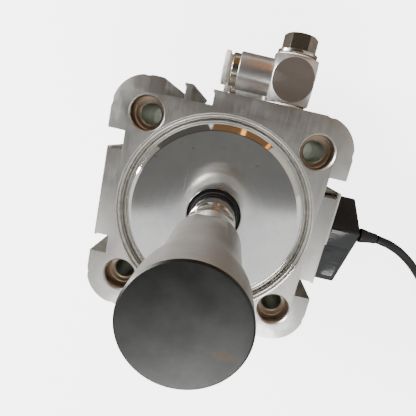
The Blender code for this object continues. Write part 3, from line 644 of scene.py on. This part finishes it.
def thread(major, depth, pitch, low, high, steps, rows_per_turn=6):
    """A screw thread as a height map wound round a closed cylinder about Z."""
    rows = max(2, round((high - low) / pitch * rows_per_turn))
    profile = [low + (high - low) * row / rows for row in range(rows + 1)]
    work = bmesh.new()
    rings = []
    for z in profile:
        ring = []
        fade = min(1.0, (z - low) / pitch, (high - z) / pitch)
        for step in range(steps):
            turn = step / steps
            phase = (z - low) / pitch - turn
            phase -= floor(phase)
            cut = depth * (1.0 - abs(2.0 * phase - 1.0))
            radius = major - (1 - fade) * depth - fade * cut
            ring.append(work.verts.new((radius * cos(2 * pi * turn), radius * sin(2 * pi * turn), z)))
        rings.append(ring)
    return loft(work, rings)


def join(*works):
    """Several bmeshes as one."""
    whole = bmesh.new()
    for work in works:
        mesh = bpy.data.meshes.new("joined")
        work.to_mesh(mesh)
        work.free()
        whole.from_mesh(mesh)
        bpy.data.meshes.remove(mesh)
    return whole


def smooth_points(route, spacing):
    """Points about one spacing apart on a Catmull-Rom curve through the route."""
    knots = [Vector(point) for point in route]
    knots = [knots[0] * 2 - knots[1]] + knots + [knots[-1] * 2 - knots[-2]]
    made = [knots[1]]
    for a, b, c, d in zip(knots, knots[1:], knots[2:], knots[3:]):
        steps = max(1, round((c - b).length / spacing))
        for step in range(1, steps + 1):
            t = step / steps
            made.append(0.5 * ((2 * b) + (c - a) * t + (2 * a - 5 * b + 4 * c - d) * t ** 2
                               + (3 * b - a - 3 * c + d) * t ** 3))
    return made


def tube(name, points, radius, look):
    """A round cable through points in millimetres, as one open spline."""
    curve = bpy.data.curves.new(name, "CURVE")
    curve.dimensions = "3D"
    curve.bevel_depth = radius * MM
    curve.bevel_resolution = 6
    curve.use_fill_caps = True
    spline = curve.splines.new("POLY")
    spline.points.add(len(points) - 1)
    for knot, point in zip(spline.points, points):
        knot.co = (*(Vector(point) * MM), 1.0)
    spline.use_smooth = True
    curve.materials.append(look)
    return add_object(name, curve)


# ---------------------------------------------------------------- cable

CABLE_ROUTE = [
    (58.6, 3.8, 52.9), (63.0, 3.0, 52.6), (68.0, 1.2, 50.8), (73.0, -1.3, 47.6),
    (78.0, -4.2, 43.8), (83.0, -7.4, 39.2), (88.5, -10.8, 32.4), (93.5, -13.6, 25.0),
    (98.0, -15.6, 17.5), (102.0, -17.2, 10.5), (104.9, -18.4, 5.6), (107.3, -19.9, 2.9),
]
COIL_CENTRE = (128.0, -18.0)
COIL_MEAN_R = 16.0
COIL_BASE = 1.0
COIL_LAYS = 4                  # quarters of the coil's length, each in its own lane
COIL_START = radians(222)
COIL_SWEEP = 2 * pi * COIL_LAYS - radians(205)
COIL_LANES = [(1.55, 1.7), (-1.55, 1.7), (-1.55, 4.8), (1.55, 4.8)]    # radial offset and height
CABLE_STEP = 3.2
BRIDGE_STEP = 2.0
TAIL_ROUTE = [(144.0, -5.4, 2.6), (144.0, -1.0, 3.0), (143.6, 4.0, 3.9), (143.2, 9.0, 4.5)]
PLUG_START = (143.2, 9.3, 4.5)


def coil_points():
    """About three and a half turns beside and on each other, from the lead's end to the tail's start."""
    made = []
    steps = 40 * COIL_LAYS
    lanes = COIL_LANES
    for step in range(steps + 1):
        turn = step / steps * COIL_LAYS
        lane = min(int(turn), COIL_LAYS - 1)
        share = turn - lane
        ease = max(0.0, (share - 0.8) / 0.2)
        ease = ease * ease * (3 - 2 * ease)
        after = lanes[min(lane + 1, COIL_LAYS - 1)]
        offset = lanes[lane][0] + (after[0] - lanes[lane][0]) * ease
        height = lanes[lane][1] + (after[1] - lanes[lane][1]) * ease
        angle = COIL_START + COIL_SWEEP * step / steps
        radius = COIL_MEAN_R + offset
        made.append(Vector((COIL_CENTRE[0] + radius * cos(angle),
                            COIL_CENTRE[1] + radius * sin(angle), COIL_BASE + height)))
    return made


def bridge(before, after, spacing):
    """A smooth run between two stretches that keeps the direction of each where they meet."""
    start, end = before[-1], after[0]
    reach = (end - start).length
    leaving = (start - before[-2]).normalized() * reach
    arriving = (after[1] - end).normalized() * reach
    steps = max(2, round(reach / spacing))
    made = []
    for step in range(1, steps):
        t = step / steps
        point = (start * (2 * t ** 3 - 3 * t ** 2 + 1) + leaving * (t ** 3 - 2 * t ** 2 + t)
                 + end * (3 * t ** 2 - 2 * t ** 3) + arriving * (t ** 3 - t ** 2))
        point.z = max(point.z, COIL_BASE + CABLE_R)
        made.append(point)
    return made


def cable_points():
    lead = smooth_points(CABLE_ROUTE, CABLE_STEP)
    coil = coil_points()
    tail = smooth_points(TAIL_ROUTE, CABLE_STEP)
    return lead + bridge(lead, coil, BRIDGE_STEP) + coil + bridge(coil, tail, BRIDGE_STEP) + tail


def knurled(radius, depth, teeth, low, high):
    """A straight-knurled ring section with softened ends, closed."""
    work = bmesh.new()
    steps = teeth * 4
    rings = []
    for z, share in ((low, 0.0), (low + 0.5, 1.0), (high - 0.5, 1.0), (high, 0.0)):
        ring = []
        for step in range(steps):
            wave = 0.5 + 0.5 * cos(2 * pi * step / 4)
            r = radius - depth * (1 - share) - depth * share * wave
            ring.append(work.verts.new((r * cos(2 * pi * step / steps), r * sin(2 * pi * step / steps), z)))
        rings.append(ring)
    return loft(work, rings)


def build_cord(looks):
    points = cable_points()
    cord = tube("cable_visual", points, CABLE_R, looks["jacket"])
    register(cord, "housing", "switch_cable")
    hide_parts("cable_coil", "cable_tail")
    plug_place = Matrix.Translation(PLUG_START) @ Matrix.Rotation(-pi / 2, 4, "X")
    sleeve = [(0.0, 0.0), (1.9, 0.0), (2.1, 1.6), (1.95, 1.9), (2.25, 3.4), (2.1, 3.7), (2.5, 5.2),
              (2.35, 5.5), (2.8, 7.0), (3.6, 8.5), (4.5, 9.5), (4.5, 17.0), (4.0, 17.5), (4.0, 18.2),
              (0.0, 18.2)]
    shell = [(0.0, 21.2), (3.5, 21.2), (3.5, 26.8), (3.7, 27.0), (3.95, 27.0), (4.1, 26.8), (4.1, 18.3),
             (0.0, 18.3)]
    work = join(lathe(rounded(sleeve, 0.25), 48), lathe(shell, 48), knurled(4.5, 0.22, 24, 18.4, 25.6))
    plug = finish_piece("plug_visual", work, looks["black"], "housing", "cable_plug", plug_place)
    pins = [lathe([(0.0, 21.3), (3.0, 21.3), (3.0, 22.4), (0.0, 22.4)], 32)]
    for quarter in range(4):
        a = radians(45 + 90 * quarter)
        pin = lathe(rounded([(0.0, 22.0), (0.45, 22.0), (0.45, 25.8), (0.2, 26.0), (0.0, 26.0)], 0.1), 12)
        bmesh.ops.translate(pin, vec=(1.5 * cos(a), 1.5 * sin(a), 0.0), verts=pin.verts)
        pins.append(pin)
    contacts = finish_piece("contacts_visual", join(*pins), looks["nickel"], "housing",
                            "plug_contacts", plug_place)
    tie = build_tie(looks)
    relief = build_relief(looks)


def build_tie(looks):
    """A strap round the coil's section."""
    half, wall = 3.6, 0.6
    low, high = COIL_BASE - 0.3, COIL_BASE + 6.9
    inner, outer = COIL_MEAN_R - half, COIL_MEAN_R + half
    hole = rounded([(inner, low), (outer, low), (outer, high), (inner, high)], 1.2, True, 4)
    shell = rounded([(inner - wall, low - wall), (outer + wall, low - wall),
                     (outer + wall, high + wall), (inner - wall, high + wall)], 1.6, True, 4)
    place = (Matrix.Translation((*COIL_CENTRE, 0.0)) @ Matrix.Rotation(radians(75), 4, "Z")
             @ Matrix.Rotation(pi / 2, 4, "X"))
    strap = finish_piece("tie_visual", prism(shell, -2.0, 2.0), looks["white"], None, None, place)
    combine(strap, [tool(prism(hole, -3.0, 3.0), looks["white"], place)])
    register(strap, "housing", "cable_tie")
    return strap


def switch_turn(y, z):
    """Turned about +X through a point (y, z)."""
    return Matrix.Translation((0.0, y, z)) @ Matrix(((0, 0, 1), (1, 0, 0), (0, 1, 0))).to_4x4()


def switch_point(along, across):
    y, z = SWITCH_CORNER
    return (y + cos(SWITCH_TILT) * along - sin(SWITCH_TILT) * across,
            z + sin(SWITCH_TILT) * along + cos(SWITCH_TILT) * across)


def build_relief(looks):
    profile = [(0.0, 52.15), (2.6, 52.15), (2.45, 53.4), (2.15, 54.9), (1.9, 56.6), (1.75, 58.3),
               (0.0, 58.3)]
    return finish_piece("relief_visual", lathe(rounded(profile, 0.3), 32), looks["black"], "housing",
                        "cable_relief", switch_turn(*switch_point(*RELIEF_AT)))


# ---------------------------------------------------------------- body

def side_slots(sign_x):
    def at(x, y):
        return (sign_x * x, y)
    lower = [at(HALF, -SLOT_HIGH), at(SLOT_FLOOR, -SLOT_HIGH), at(SLOT_FLOOR, -SLOT_LOW),
             at(LAND - LIP_DEPTH, -SLOT_LOW), at(LAND - LIP_DEPTH, -SLOT_LOW - LIP),
             at(LAND, -SLOT_LOW - LIP)]
    return lower + [(x, -y) for x, y in reversed(lower)]


def top_slots():
    inner_low, inner_high = TOP_SLOT_INNER
    outer_low, outer_high = TOP_SLOT_OUTER
    lip_y = HALF - LIP_DEPTH
    return [(inner_high - LIP, HALF), (inner_high - LIP, lip_y), (inner_high, lip_y - LIP),
            (inner_high, TOP_FLOOR), (inner_low, TOP_FLOOR), (inner_low, lip_y - LIP),
            (inner_low + LIP, lip_y), (inner_low + LIP, HALF), (outer_high - LIP, HALF),
            (outer_high - LIP, lip_y), (outer_high, lip_y - LIP), (outer_high, TOP_FLOOR),
            (outer_low, TOP_FLOOR), (outer_low, HALF - LIP_DEPTH), (outer_low - LIP_DEPTH, HALF)]


def corner_arc(cx, cy, start):
    """A corner with a shallow groove where the arc meets each flat, as the die leaves it."""
    made = []
    for step in range(25):
        angle = start + 90 * step / 24
        edge = min(step, 24 - step)
        dip = (0.0, 0.28, 0.34, 0.16)[edge] if edge < 4 else 0.0
        a = radians(angle)
        radius = CORNER_R - dip
        made.append((cx + radius * cos(a), cy + radius * sin(a)))
    return made


def body_outline():
    c = HOLE_XY
    points = corner_arc(c, -c, -90) + side_slots(1) + corner_arc(c, c, 0) + top_slots()
    points += corner_arc(-c, c, 90) + list(reversed(side_slots(-1))) + corner_arc(-c, -c, 180)
    return points + [(y, x) for x, y in side_slots(-1)]


def mouth(radius, depth, size, rim, length, steps):
    """Cutter for a hole with a counterbore and a broken edge at both ends."""
    big = depth
    return lathe([(0.0, -1.0), (radius + size + 1.0, -1.0), (radius + 0.08, size), (radius, size + 0.15),
                  (radius, big - 0.35), (radius - 0.35, big), (rim + 0.45, big), (rim, big + 0.45),
                  (rim, length - big - 0.45), (rim + 0.45, length - big), (radius - 0.35, length - big),
                  (radius, length - big + 0.35), (radius, length - size - 0.15),
                  (radius + 0.08, length - size), (radius + size + 1.0, length + 1.0),
                  (0.0, length + 1.0)], steps)


def build_body(looks):
    look = looks["body"]
    shell = sharp_bevel(prism(body_outline(), 0.0, LENGTH), 0.22)
    body = finish_piece("body_visual", shell, look, None)
    steps = 160
    cut = 0.35
    low, high = 0.95, 2.85
    profile = [(0.0, -1.0), (SEAT_R + cut + 1.0, -1.0), (SEAT_R, cut), (SEAT_R, low), (GROOVE_R, low),
               (GROOVE_R, high), (SEAT_R, high), (SEAT_R, 9.3), (BORE_R, 9.3), (BORE_R, 49.2), (SEAT_R, 49.2),
               (SEAT_R, LENGTH - high), (GROOVE_R, LENGTH - high), (GROOVE_R, LENGTH - low),
               (SEAT_R, LENGTH - low), (SEAT_R, LENGTH - cut), (SEAT_R + cut + 1.0, LENGTH + 1.0),
               (0.0, LENGTH + 1.0)]
    tools = [tool(lathe(profile, steps), look)]
    for x in (-HOLE_XY, HOLE_XY):
        for y in (-HOLE_XY, HOLE_XY):
            hole = mouth(COUNTERBORE_R, COUNTERBORE_DEPTH, 0.45, MOUNT_HOLE_R, LENGTH, 64)
            tools.append(tool(hole, look, Matrix.Translation((x, y, 0.0))))
    for z in PORT_Z.values():
        port = lathe([(0.0, -16.0), (2.0, -16.0), (2.0, -8.2), (5.1, -8.2), (5.1, -0.5), (6.9, 1.0),
                      (0.0, 1.0)], 48)
        place = Matrix.Translation((PORT_X, HALF, z)) @ Matrix.Rotation(-pi / 2, 4, "X")
        tools.append(tool(port, look, place))
    combine(body, tools)
    register(body, "housing", "cylinder_body")


# ---------------------------------------------------------------- covers, snap rings and seals

def build_covers(looks):
    face = LENGTH - 0.8
    profile = [(9.5, 44.9), (29.0, 44.9), (29.0, 49.5), (33.1, 49.5), (33.1, 50.8), (30.6, 50.8),
               (30.6, 53.6), (33.1, 53.6), (33.1, 57.0), (32.0, 57.0), (32.0, face - 2.0),
               (DISC_R, face), (9.6, face), (9.2, face - 0.4), (9.2, 54.0), (7.8, 54.0), (7.8, 53.6),
               (9.5, 53.6)]
    finish_piece("front_cover_visual", lathe(rounded(profile, 0.22, True), 192, True),
                 looks["cover"], "housing", "front_cover")
    rear = [(0.0, 0.0), (8.0, 0.0), (8.0, 0.35), (9.0, 0.35), (9.0, 0.0), (DISC_R, 0.0), (32.0, 2.0),
            (32.0, 3.0), (33.1, 3.0), (33.1, 4.2), (30.6, 4.2), (30.6, 7.0), (33.1, 7.0), (33.1, 9.0),
            (0.0, 9.0)]
    finish_piece("rear_cover_visual", lathe(rounded(rear, 0.2), 160), looks["rear_cover"],
                 "housing", "rear_cover")


def build_snap_rings(looks):
    for name, height in (("rear", 1.9), ("front", LENGTH - 1.9)):
        work = bmesh.new()
        loops = []
        steps, sides = 180, 14
        gap = radians(14)
        middle = radians(-80)
        for step in range(steps + 1):
            angle = middle + gap / 2 + (2 * pi - gap) * step / steps
            loop = []
            for side in range(sides):
                around = 2 * pi * side / sides
                radius = 33.3 + 0.8 * cos(around)
                loop.append(work.verts.new((radius * cos(angle), radius * sin(angle),
                                            height + 0.8 * sin(around))))
            loops.append(loop)
        finish_piece("%s_snap_ring_visual" % name, loft(work, loops), looks["spring"], "housing",
                     "%s_snap_ring" % name, angle=45)


def build_wiper(looks):
    profile = [(8.2, 54.3), (8.9, 54.3), (8.9, 57.9), (8.6, 58.3), (8.35, 58.0), (8.1, 58.75),
               (7.72, 58.85), (7.65, 58.6), (8.0, 57.4), (7.75, 56.0), (8.1, 55.2)]
    finish_piece("wiper_visual", lathe(rounded(profile, 0.12, True), 96, True), looks["wiper"],
                 "housing", "rod_wiper_seal")


# ---------------------------------------------------------------- rod, nut and extension

def hex_solid(name, flats, low, high, ends, turn, look, place=None, steps=96):
    """A hexagon whose corners are rounded off by a 30 degree cone at the given ends."""
    corner = flats / sqrt(3) + 0.4
    rim = flats / 2 - 0.15
    rise = (corner - rim) * tan(radians(30))
    bottom = [(0.0, low), (rim, low), (corner, low + rise)] if "low" in ends \
        else [(0.0, low), (corner, low)]
    top = [(corner, high - rise), (rim, high), (0.0, high)] if "high" in ends \
        else [(corner, high), (0.0, high)]
    made = finish_piece(name, lathe(bottom + top, steps), look, None, None, place)
    sides = sharp_bevel(prism(hexagon(flats, turn), low - 1.0, high + 1.0), 0.12, 2)
    return combine(made, [tool(sides, look, place)], "INTERSECT", 20.0)


def build_rod(looks):
    rod = [(0.0, 49.0), (4.2, 49.0), (4.2, 36.0), (7.0, 36.0), (ROD_R, 36.5), (ROD_R, ROD_FRONT - 0.6),
           (ROD_R - 0.6, ROD_FRONT), (4.2, ROD_FRONT), (4.2, 61.5), (0.0, 61.5)]
    finish_piece("rod_visual", lathe(rounded(rod, 0.12), 96), looks["chrome"], "rod", "piston_rod")
    nut = hex_solid("nut_visual", NUT_FLATS, NUT_LOW, NUT_HIGH, ("low", "high"), NUT_TURN, looks["nut"])
    hole = lathe([(0.0, NUT_LOW - 1.0), (5.6, NUT_LOW - 1.0), (4.2, NUT_LOW + 0.6),
                  (4.2, NUT_HIGH - 0.6), (5.6, NUT_HIGH + 1.0), (0.0, NUT_HIGH + 1.0)], 48)
    combine(nut, [tool(hole, looks["nut"])], angle=20.0)
    register(nut, "rod", "rod_lock_nut")


def build_extension(looks):
    look = looks["extension"]
    steps = 14
    profile = [(0.0, SHAFT_REAR - 0.4), (SHAFT_R - 0.9, SHAFT_REAR - 0.4), (SHAFT_R, SHAFT_REAR + 0.5)]
    for step in range(steps + 1):
        t = step / steps
        profile.append((SHAFT_R + (HEAD_R - SHAFT_R) * t * t * (3 - 2 * t),
                        FLARE[0] + (FLARE[1] - FLARE[0]) * t))
    profile += [(HEAD_R, HEAD_FRONT - 0.35), (HEAD_R - 0.35, HEAD_FRONT), (0.0, HEAD_FRONT)]
    shaft = finish_piece("extension_visual", lathe(profile, 128), look, None)
    flats = []
    for sign in (-1, 1):
        near, far = sign * 8.0, sign * 12.0
        flats.append(tool(sharp_bevel(block((-12.0, min(near, far), SHAFT_REAR - 2.0),
                                            (12.0, max(near, far), SHAFT_REAR + 8.0)), 0.3), look))
    combine(shaft, flats)
    whole = bmesh.new()
    whole.from_mesh(shaft.data)
    bmesh.ops.scale(whole, vec=(1 / MM, 1 / MM, 1 / MM), verts=whole.verts)
    bpy.data.objects.remove(shaft, do_unlink=True)
    stud = thread(3.9, 0.65, 1.25, 63.0, SHAFT_REAR + 1.0, 48)
    made = finish_piece("rod_extension_visual", join(whole, stud), look, "rod", "rod_extension")
    # Faces at the front end take the material with the painted dark reflection.
    made.data.materials.append(looks["extension_end"])
    for face in made.data.polygons:
        if face.center.z > (HEAD_FRONT - 0.4) * MM:
            face.material_index = 1


# ---------------------------------------------------------------- fittings

def build_fitting(end, looks):
    base = Matrix.Translation((PORT_X, HALF, PORT_Z[end])) @ Matrix.Rotation(-pi / 2, 4, "X")
    along = base @ Matrix.Translation((0.0, 0.0, BARREL_Z)) @ Matrix.Rotation(-pi / 2, 4, "Y")
    look = looks["elbow_" + end]
    shape = block((-ELBOW_HALF, -ELBOW_HALF, 1.5), (ELBOW_HALF, ELBOW_HALF, 16.3), 0.35, 3)
    cube = finish_piece("%s_elbow_visual" % end, shape, look, None, None, base)
    corner = ELBOW_HALF * sqrt(2) + 1.0
    slope = corner - 7.05
    turn = lathe([(0.0, -ELBOW_HALF), (6.95, -ELBOW_HALF), (7.05, -6.9),
                  (corner, -ELBOW_HALF + slope * 0.62),
                  (corner, 8.0), (0.0, 8.0)], 96)
    facing = base @ Matrix.Translation((0.0, 0.0, BARREL_Z)) @ Matrix.Rotation(-pi / 2, 4, "X")
    combine(cube, [tool(turn, look, facing)], "INTERSECT")
    barrel = lathe(rounded([(0.0, 2.0), (6.2, 2.0), (6.2, 18.3), (4.0, 18.3), (0.0, 18.3)], 0.3), 96)
    combine(cube, [tool(barrel, look, along)], "UNION")
    bore = lathe([(0.0, 0.0), (5.2, 0.0), (5.2, 20.0), (0.0, 20.0)], 64)
    socket = lathe([(0.0, 1.0), (2.3, 1.0), (2.3, 6.8), (3.1, 6.8), (3.1, 8.5), (4.4, 8.5), (4.4, 12.2),
                    (5.65, 12.2), (5.65, 19.0), (0.0, 19.0)], 64)
    combine(cube, [tool(bore, look, base), tool(socket, look, along)])
    body = "%s_elbow" % end
    register(cube, body, "%s_elbow_body" % end)
    bolt = hex_solid("%s_bolt_head_visual" % end, BOLT_FLATS, 18.0, 23.6, ("high",), BOLT_TURN,
                     looks["nickel"], base)
    stem = lathe(rounded([(0.0, -7.5), (4.3, -7.5), (4.85, -6.9), (4.85, 17.3), (6.7, 17.3),
                          (6.7, 18.3), (0.0, 18.3)], 0.18), 96)
    combine(bolt, [tool(stem, looks["nickel"], base)], "UNION", 20.0)
    register(bolt, "housing", "%s_banjo_bolt" % end)
    lower = [(5.2, 0.3), (6.8, 0.3), (6.8, 1.2), (5.2, 1.2)]
    upper = [(5.2, 16.6), (6.6, 16.6), (6.6, 17.0), (5.2, 17.0)]
    for name, profile in (("lower", lower), ("upper", upper)):
        finish_piece("%s_%s_washer_visual" % (end, name), lathe(rounded(profile, 0.12, True), 64, True),
                     looks["washer"], "housing", "%s_%s_washer" % (end, name), base)
    collar = [(4.9, 13.6), (5.4, 13.6), (5.4, 20.35), (5.05, 20.8), (4.9, 20.8)]
    finish_piece("%s_collar_visual" % end, lathe(rounded(collar, 0.15, True), 96, True),
                 looks["nickel"], body, "%s_collar" % end, along)
    sleeve = [(3.1, 14.6), (4.6, 14.6), (4.6, 21.75), (5.6, 21.75), (5.6, 23.3), (5.3, 23.6), (3.5, 23.6),
              (3.1, 23.2)]
    finish_piece("%s_release_visual" % end, lathe(rounded(sleeve, 0.3, True, 4), 96, True),
                 looks["clear"], "%s_release" % end, "%s_release_ring" % end, along)


# ---------------------------------------------------------------- switch

def build_switch(looks):
    place = Matrix.Translation((0.0, *SWITCH_CORNER)) @ Matrix.Rotation(SWITCH_TILT, 4, "X")
    low_x, high_x = SWITCH_X
    look = looks["switch"]
    shell = block((low_x, -27.3, -20.6), (high_x, 0.0, 0.0), 0.9, 4)
    housing = finish_piece("switch_visual", shell, look, None, None, place)
    screw_hole = lathe([(0.0, 30.0), (1.9, 30.0), (1.9, high_x - 3.0), (3.5, high_x - 3.0),
                        (3.5, high_x - 0.3), (4.8, high_x + 1.0), (0.0, high_x + 1.0)], 48)
    at = place @ switch_turn(*SCREW_AT)
    window = block((high_x - 0.8, -22.5, -6.2), (high_x + 1.0, -18.5, -4.0), 0.3, 2)
    label = block((low_x + 1.4, -24.5, -0.2), (high_x - 1.4, -8.0, 1.0), 0.4, 2)
    tools = [tool(screw_hole, look, at), tool(window, look, place), tool(label, look, place)]
    combine(housing, tools)
    register(housing, "housing", "switch_housing")
    lens = block((high_x - 0.7, -22.2, -5.9), (high_x + 0.05, -18.8, -4.3), 0.25, 3)
    finish_piece("window_visual", lens, looks["lens"], "housing", "switch_window", place)
    tip = LAND + 0.2
    screw = lathe(rounded([(0.0, tip), (1.2, tip), (1.5, tip + 0.3), (1.5, high_x - 2.7),
                           (3.1, high_x - 2.7), (3.1, high_x - 0.7), (2.5, high_x - 0.1),
                           (0.0, high_x - 0.1)], 0.2), 48)
    head = finish_piece("clamp_screw_visual", screw, looks["screw"], None, None, at)
    slot = block((high_x - 1.3, SCREW_AT[0] - 4.0, SCREW_AT[1] - 0.4),
                 (high_x + 1.0, SCREW_AT[0] + 4.0, SCREW_AT[1] + 0.4))
    combine(head, [tool(slot, looks["screw"], place)])
    register(head, "housing", "switch_screw")
    build_bracket(looks)


def build_bracket(looks):
    low_x, high_x = 39.6, 40.8
    hook, outer, deep = 15.8, 16.8, 35.9
    outline = [(high_x, -outer), (high_x, outer), (deep, outer), (deep, hook),
               (low_x, hook), (low_x, -hook), (deep, -hook), (deep, -outer)]
    outline = rounded(outline, 0.35, True)
    bracket = finish_piece("bracket_visual", sharp_bevel(prism(outline, 30.0, 56.5), 0.12, 2),
                           looks["bracket"], None)
    trim = block((30.0, -20.0, 50.5), (45.0, -1.5, 60.0), 0.3, 2)
    hook_trim = block((30.0, 14.8, 51.5), (39.5, 20.0, 60.0))
    hole = lathe([(0.0, 30.0), (1.8, 30.0), (1.8, 50.0), (0.0, 50.0)], 32)
    tools = [tool(trim, looks["bracket"]), tool(hook_trim, looks["bracket"]),
             tool(hole, looks["bracket"], switch_turn(*switch_point(*SCREW_AT)))]
    combine(bracket, tools)
    register(bracket, "housing", "switch_bracket")


# ---------------------------------------------------------------- studio

FLAG_Z = 197.0                 # dark flag above the object, in millimetres
FLAG_ROLL = radians(12.7)
FLAG_LEFT = -190.0
FLAG_RIGHT = 90.0
FLAG_LOW = -52.0
FLAG_SPLIT = 17.0
FLAG_HIGH = 110.0
CARD_TALL = 470.0
CARD_FROM_ZENITH = 58.0
CARD_DISTANCE = 420.0
GOLD_DISTANCE = 400.0


def card(name, centre, axes, size, color, strength):
    """A studio card that shows only in reflections: centre in mm, axes as its own x, y and z."""
    work = bmesh.new()
    bmesh.ops.create_grid(work, x_segments=1, y_segments=1, size=0.5)
    bmesh.ops.scale(work, vec=(size[0] * MM, size[1] * MM, 1.0), verts=work.verts)
    mesh = bpy.data.meshes.new(name)
    work.to_mesh(mesh)
    work.free()
    made = add_object(name, mesh)
    turn = Matrix(axes).transposed().to_4x4()
    made.matrix_world = Matrix.Translation(Vector(centre) * MM) @ turn
    glow = bpy.data.materials.new(name)
    glow.use_nodes = True
    glow.node_tree.nodes.clear()
    emission = glow.node_tree.nodes.new("ShaderNodeEmission")
    output = glow.node_tree.nodes.new("ShaderNodeOutputMaterial")
    emission.inputs["Color"].default_value = (*color, 1.0)
    emission.inputs["Strength"].default_value = strength
    glow.node_tree.links.new(emission.outputs["Emission"], output.inputs["Surface"])
    mesh.materials.append(glow)
    made.visible_camera = False
    made.visible_shadow = False
    return made


def side_card(name, azimuth, distance, size, color, strength):
    """A card that faces the cover from an azimuth in degrees."""
    a, t = radians(azimuth), radians(CARD_FROM_ZENITH)
    outward = Vector((cos(a) * sin(t), sin(a) * sin(t), cos(t)))
    across = Vector((-sin(a), cos(a), 0.0))
    axes = (across, outward.cross(across), outward)
    return card(name, Vector((0.0, 0.0, LENGTH)) + outward * distance, axes, size, color, strength)


def area_light(name, centre, target, size, power, color=(1.0, 1.0, 1.0)):
    data = bpy.data.lights.new(name, "AREA")
    data.energy = power
    data.size = size
    data.color = color
    made = add_object(name, data)
    made.location = centre
    made.rotation_euler = (Vector(target) - Vector(centre)).to_track_quat("-Z", "Y").to_euler()
    return made


def ground(name, z, look):
    """A wide flat stage surface at a height in millimetres."""
    work = bmesh.new()
    bmesh.ops.create_grid(work, x_segments=1, y_segments=1, size=3.0)
    mesh = bpy.data.meshes.new(name)
    work.to_mesh(mesh)
    work.free()
    made = add_object(name, mesh)
    made.location = (0.0, 0.0, z * MM)
    mesh.materials.append(look)
    return made


def build_studio():
    paper = ground("studio_floor", -0.2, floor_paper())
    paper.visible_glossy = False
    paper.visible_diffuse = False
    bench = ground("studio_bench", -1.2, bench_top())
    bench.visible_camera = False
    world = bpy.data.worlds.new("studio")
    bpy.context.scene.world = world
    world.use_nodes = True
    world.node_tree.nodes["Background"].inputs["Color"].default_value = (0.95, 0.95, 0.94, 1.0)
    world.node_tree.nodes["Background"].inputs["Strength"].default_value = 1.1
    roll = Matrix.Rotation(FLAG_ROLL, 3, "Z")
    flag_axes = (roll.col[0], roll.col[1], roll.col[2])
    over_lens = Vector((CAMERA_AT[0], CAMERA_AT[1], FLAG_Z))
    for name, low, high, color in (("dark_flag_near", FLAG_LOW, FLAG_SPLIT, (0.175, 0.173, 0.165)),
                                   ("dark_flag_far", FLAG_SPLIT, FLAG_HIGH, (0.060, 0.050, 0.041))):
        middle = roll.col[0] * (FLAG_LEFT + FLAG_RIGHT) / 2 + roll.col[1] * (low + high) / 2
        card(name, over_lens + middle, flag_axes, (FLAG_RIGHT - FLAG_LEFT, high - low), color, 1.0)
    card("hole_glow", (0.0, 0.0, -0.6), Matrix.Identity(3), (74.0, 74.0), (0.55, 0.57, 0.50), 1.0)
    for name, azimuth, width, color, strength in (
            ("gold_card", 82.0, 22.0, (1.0, 0.40, 0.10), 2.6),
            ("gold_card_thin", 60.0, 14.0, (1.0, 0.38, 0.10), 2.2),
            ("gold_glow", 79.0, 370.0, (0.24, 0.125, 0.055), 1.0),
            ("cream_card", 36.0, 280.0, (0.66, 0.62, 0.54), 1.0),
            ("dark_card_left", 131.5, 300.0, (0.10, 0.095, 0.085), 1.0),
            ("brown_card_left", 161.0, 133.0, (0.36, 0.32, 0.26), 1.0)):
        distance = GOLD_DISTANCE if name.startswith("gold_card") else CARD_DISTANCE
        side_card(name, azimuth, distance, (width, CARD_TALL), color, strength)
    area_light("front_soft", (0.1, -0.75, 0.75), (0.0, 0.0, 0.06), 0.5, 8.0)
    area_light("left_window", (-0.60, 0.20, 0.17), (0.0, 0.0, 0.11), 0.30, 16.0)


def main():
    looks = {
        "body": cut_face_aluminium(),
        "cover": mirror_turned(),
        "rear_cover": satin_turned("rear_cover_metal", (0.66, 0.66, 0.65), 0.32).material,
        "spring": spring_wire(),
        "chrome": plated("rod_chrome", (0.62, 0.60, 0.57), 0.12),
        "nickel": plated("warm_nickel", (0.70, 0.66, 0.58), 0.16),
        "nut": plated("nut_zinc", (0.78, 0.77, 0.74), 0.22),
        "bracket": plated("bracket_nickel", (0.74, 0.71, 0.63), 0.24),
        "screw": satin_turned("screw_steel", (0.60, 0.59, 0.57), 0.28, "X").material,
        "extension": extension_steel(),
        "extension_end": extension_end_painted_dark(),
        "elbow_front": tumbled_aluminium("front_elbow_aluminium", "front"),
        "elbow_rear": tumbled_aluminium("rear_elbow_aluminium", "rear"),
        "inner": satin_turned("piston_aluminium", (0.62, 0.62, 0.61), 0.34).material,
        "black": plastic("black_moulding", (0.012, 0.012, 0.013), 0.36, Specular_IOR_Level=0.3).material,
        "switch": switch_moulding(),
        "jacket": cable_jacket(),
        "rubber": rubber(),
        "wiper": rubber("wiper_rubber"),
        "white": plastic("white_plastic", (0.82, 0.82, 0.79), 0.40).material,
        "washer": plastic("washer_nylon", (0.78, 0.78, 0.74), 0.42).material,
        "clear": plastic("release_plastic", (0.93, 0.93, 0.90), 0.30,
                         Subsurface_Weight=0.25, Subsurface_Scale=0.001).material,
        "lens": plastic("window_plastic", (0.55, 0.56, 0.54), 0.15).material,
        "bronze": bronze(),
        "magnet": rubber("magnet_compound"),
    }
    build_cord(looks)
    build_body(looks)
    build_covers(looks)
    build_snap_rings(looks)
    build_wiper(looks)
    build_rod(looks)
    build_extension(looks)
    for end in PORT_Z:
        build_fitting(end, looks)
    build_switch(looks)
    hidden = {
        "rubber": ["front_cover_o_ring", "rear_cover_o_ring", "front_bumper", "rear_bumper",
                   "front_piston_seal", "rear_piston_seal", "front_tube_seal", "rear_tube_seal"],
        "bronze": ["rod_bushing"],
        "inner": ["piston_front_half", "piston_rear_half"],
        "magnet": ["piston_magnet"],
        "white": ["piston_wear_ring"],
        "screw": ["piston_screw", "front_grab_ring", "rear_grab_ring"],
    }
    for look, nodes in hidden.items():
        for node in nodes:
            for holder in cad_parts[node].material_slots:
                holder.material = looks[look]
    build_studio()


main()
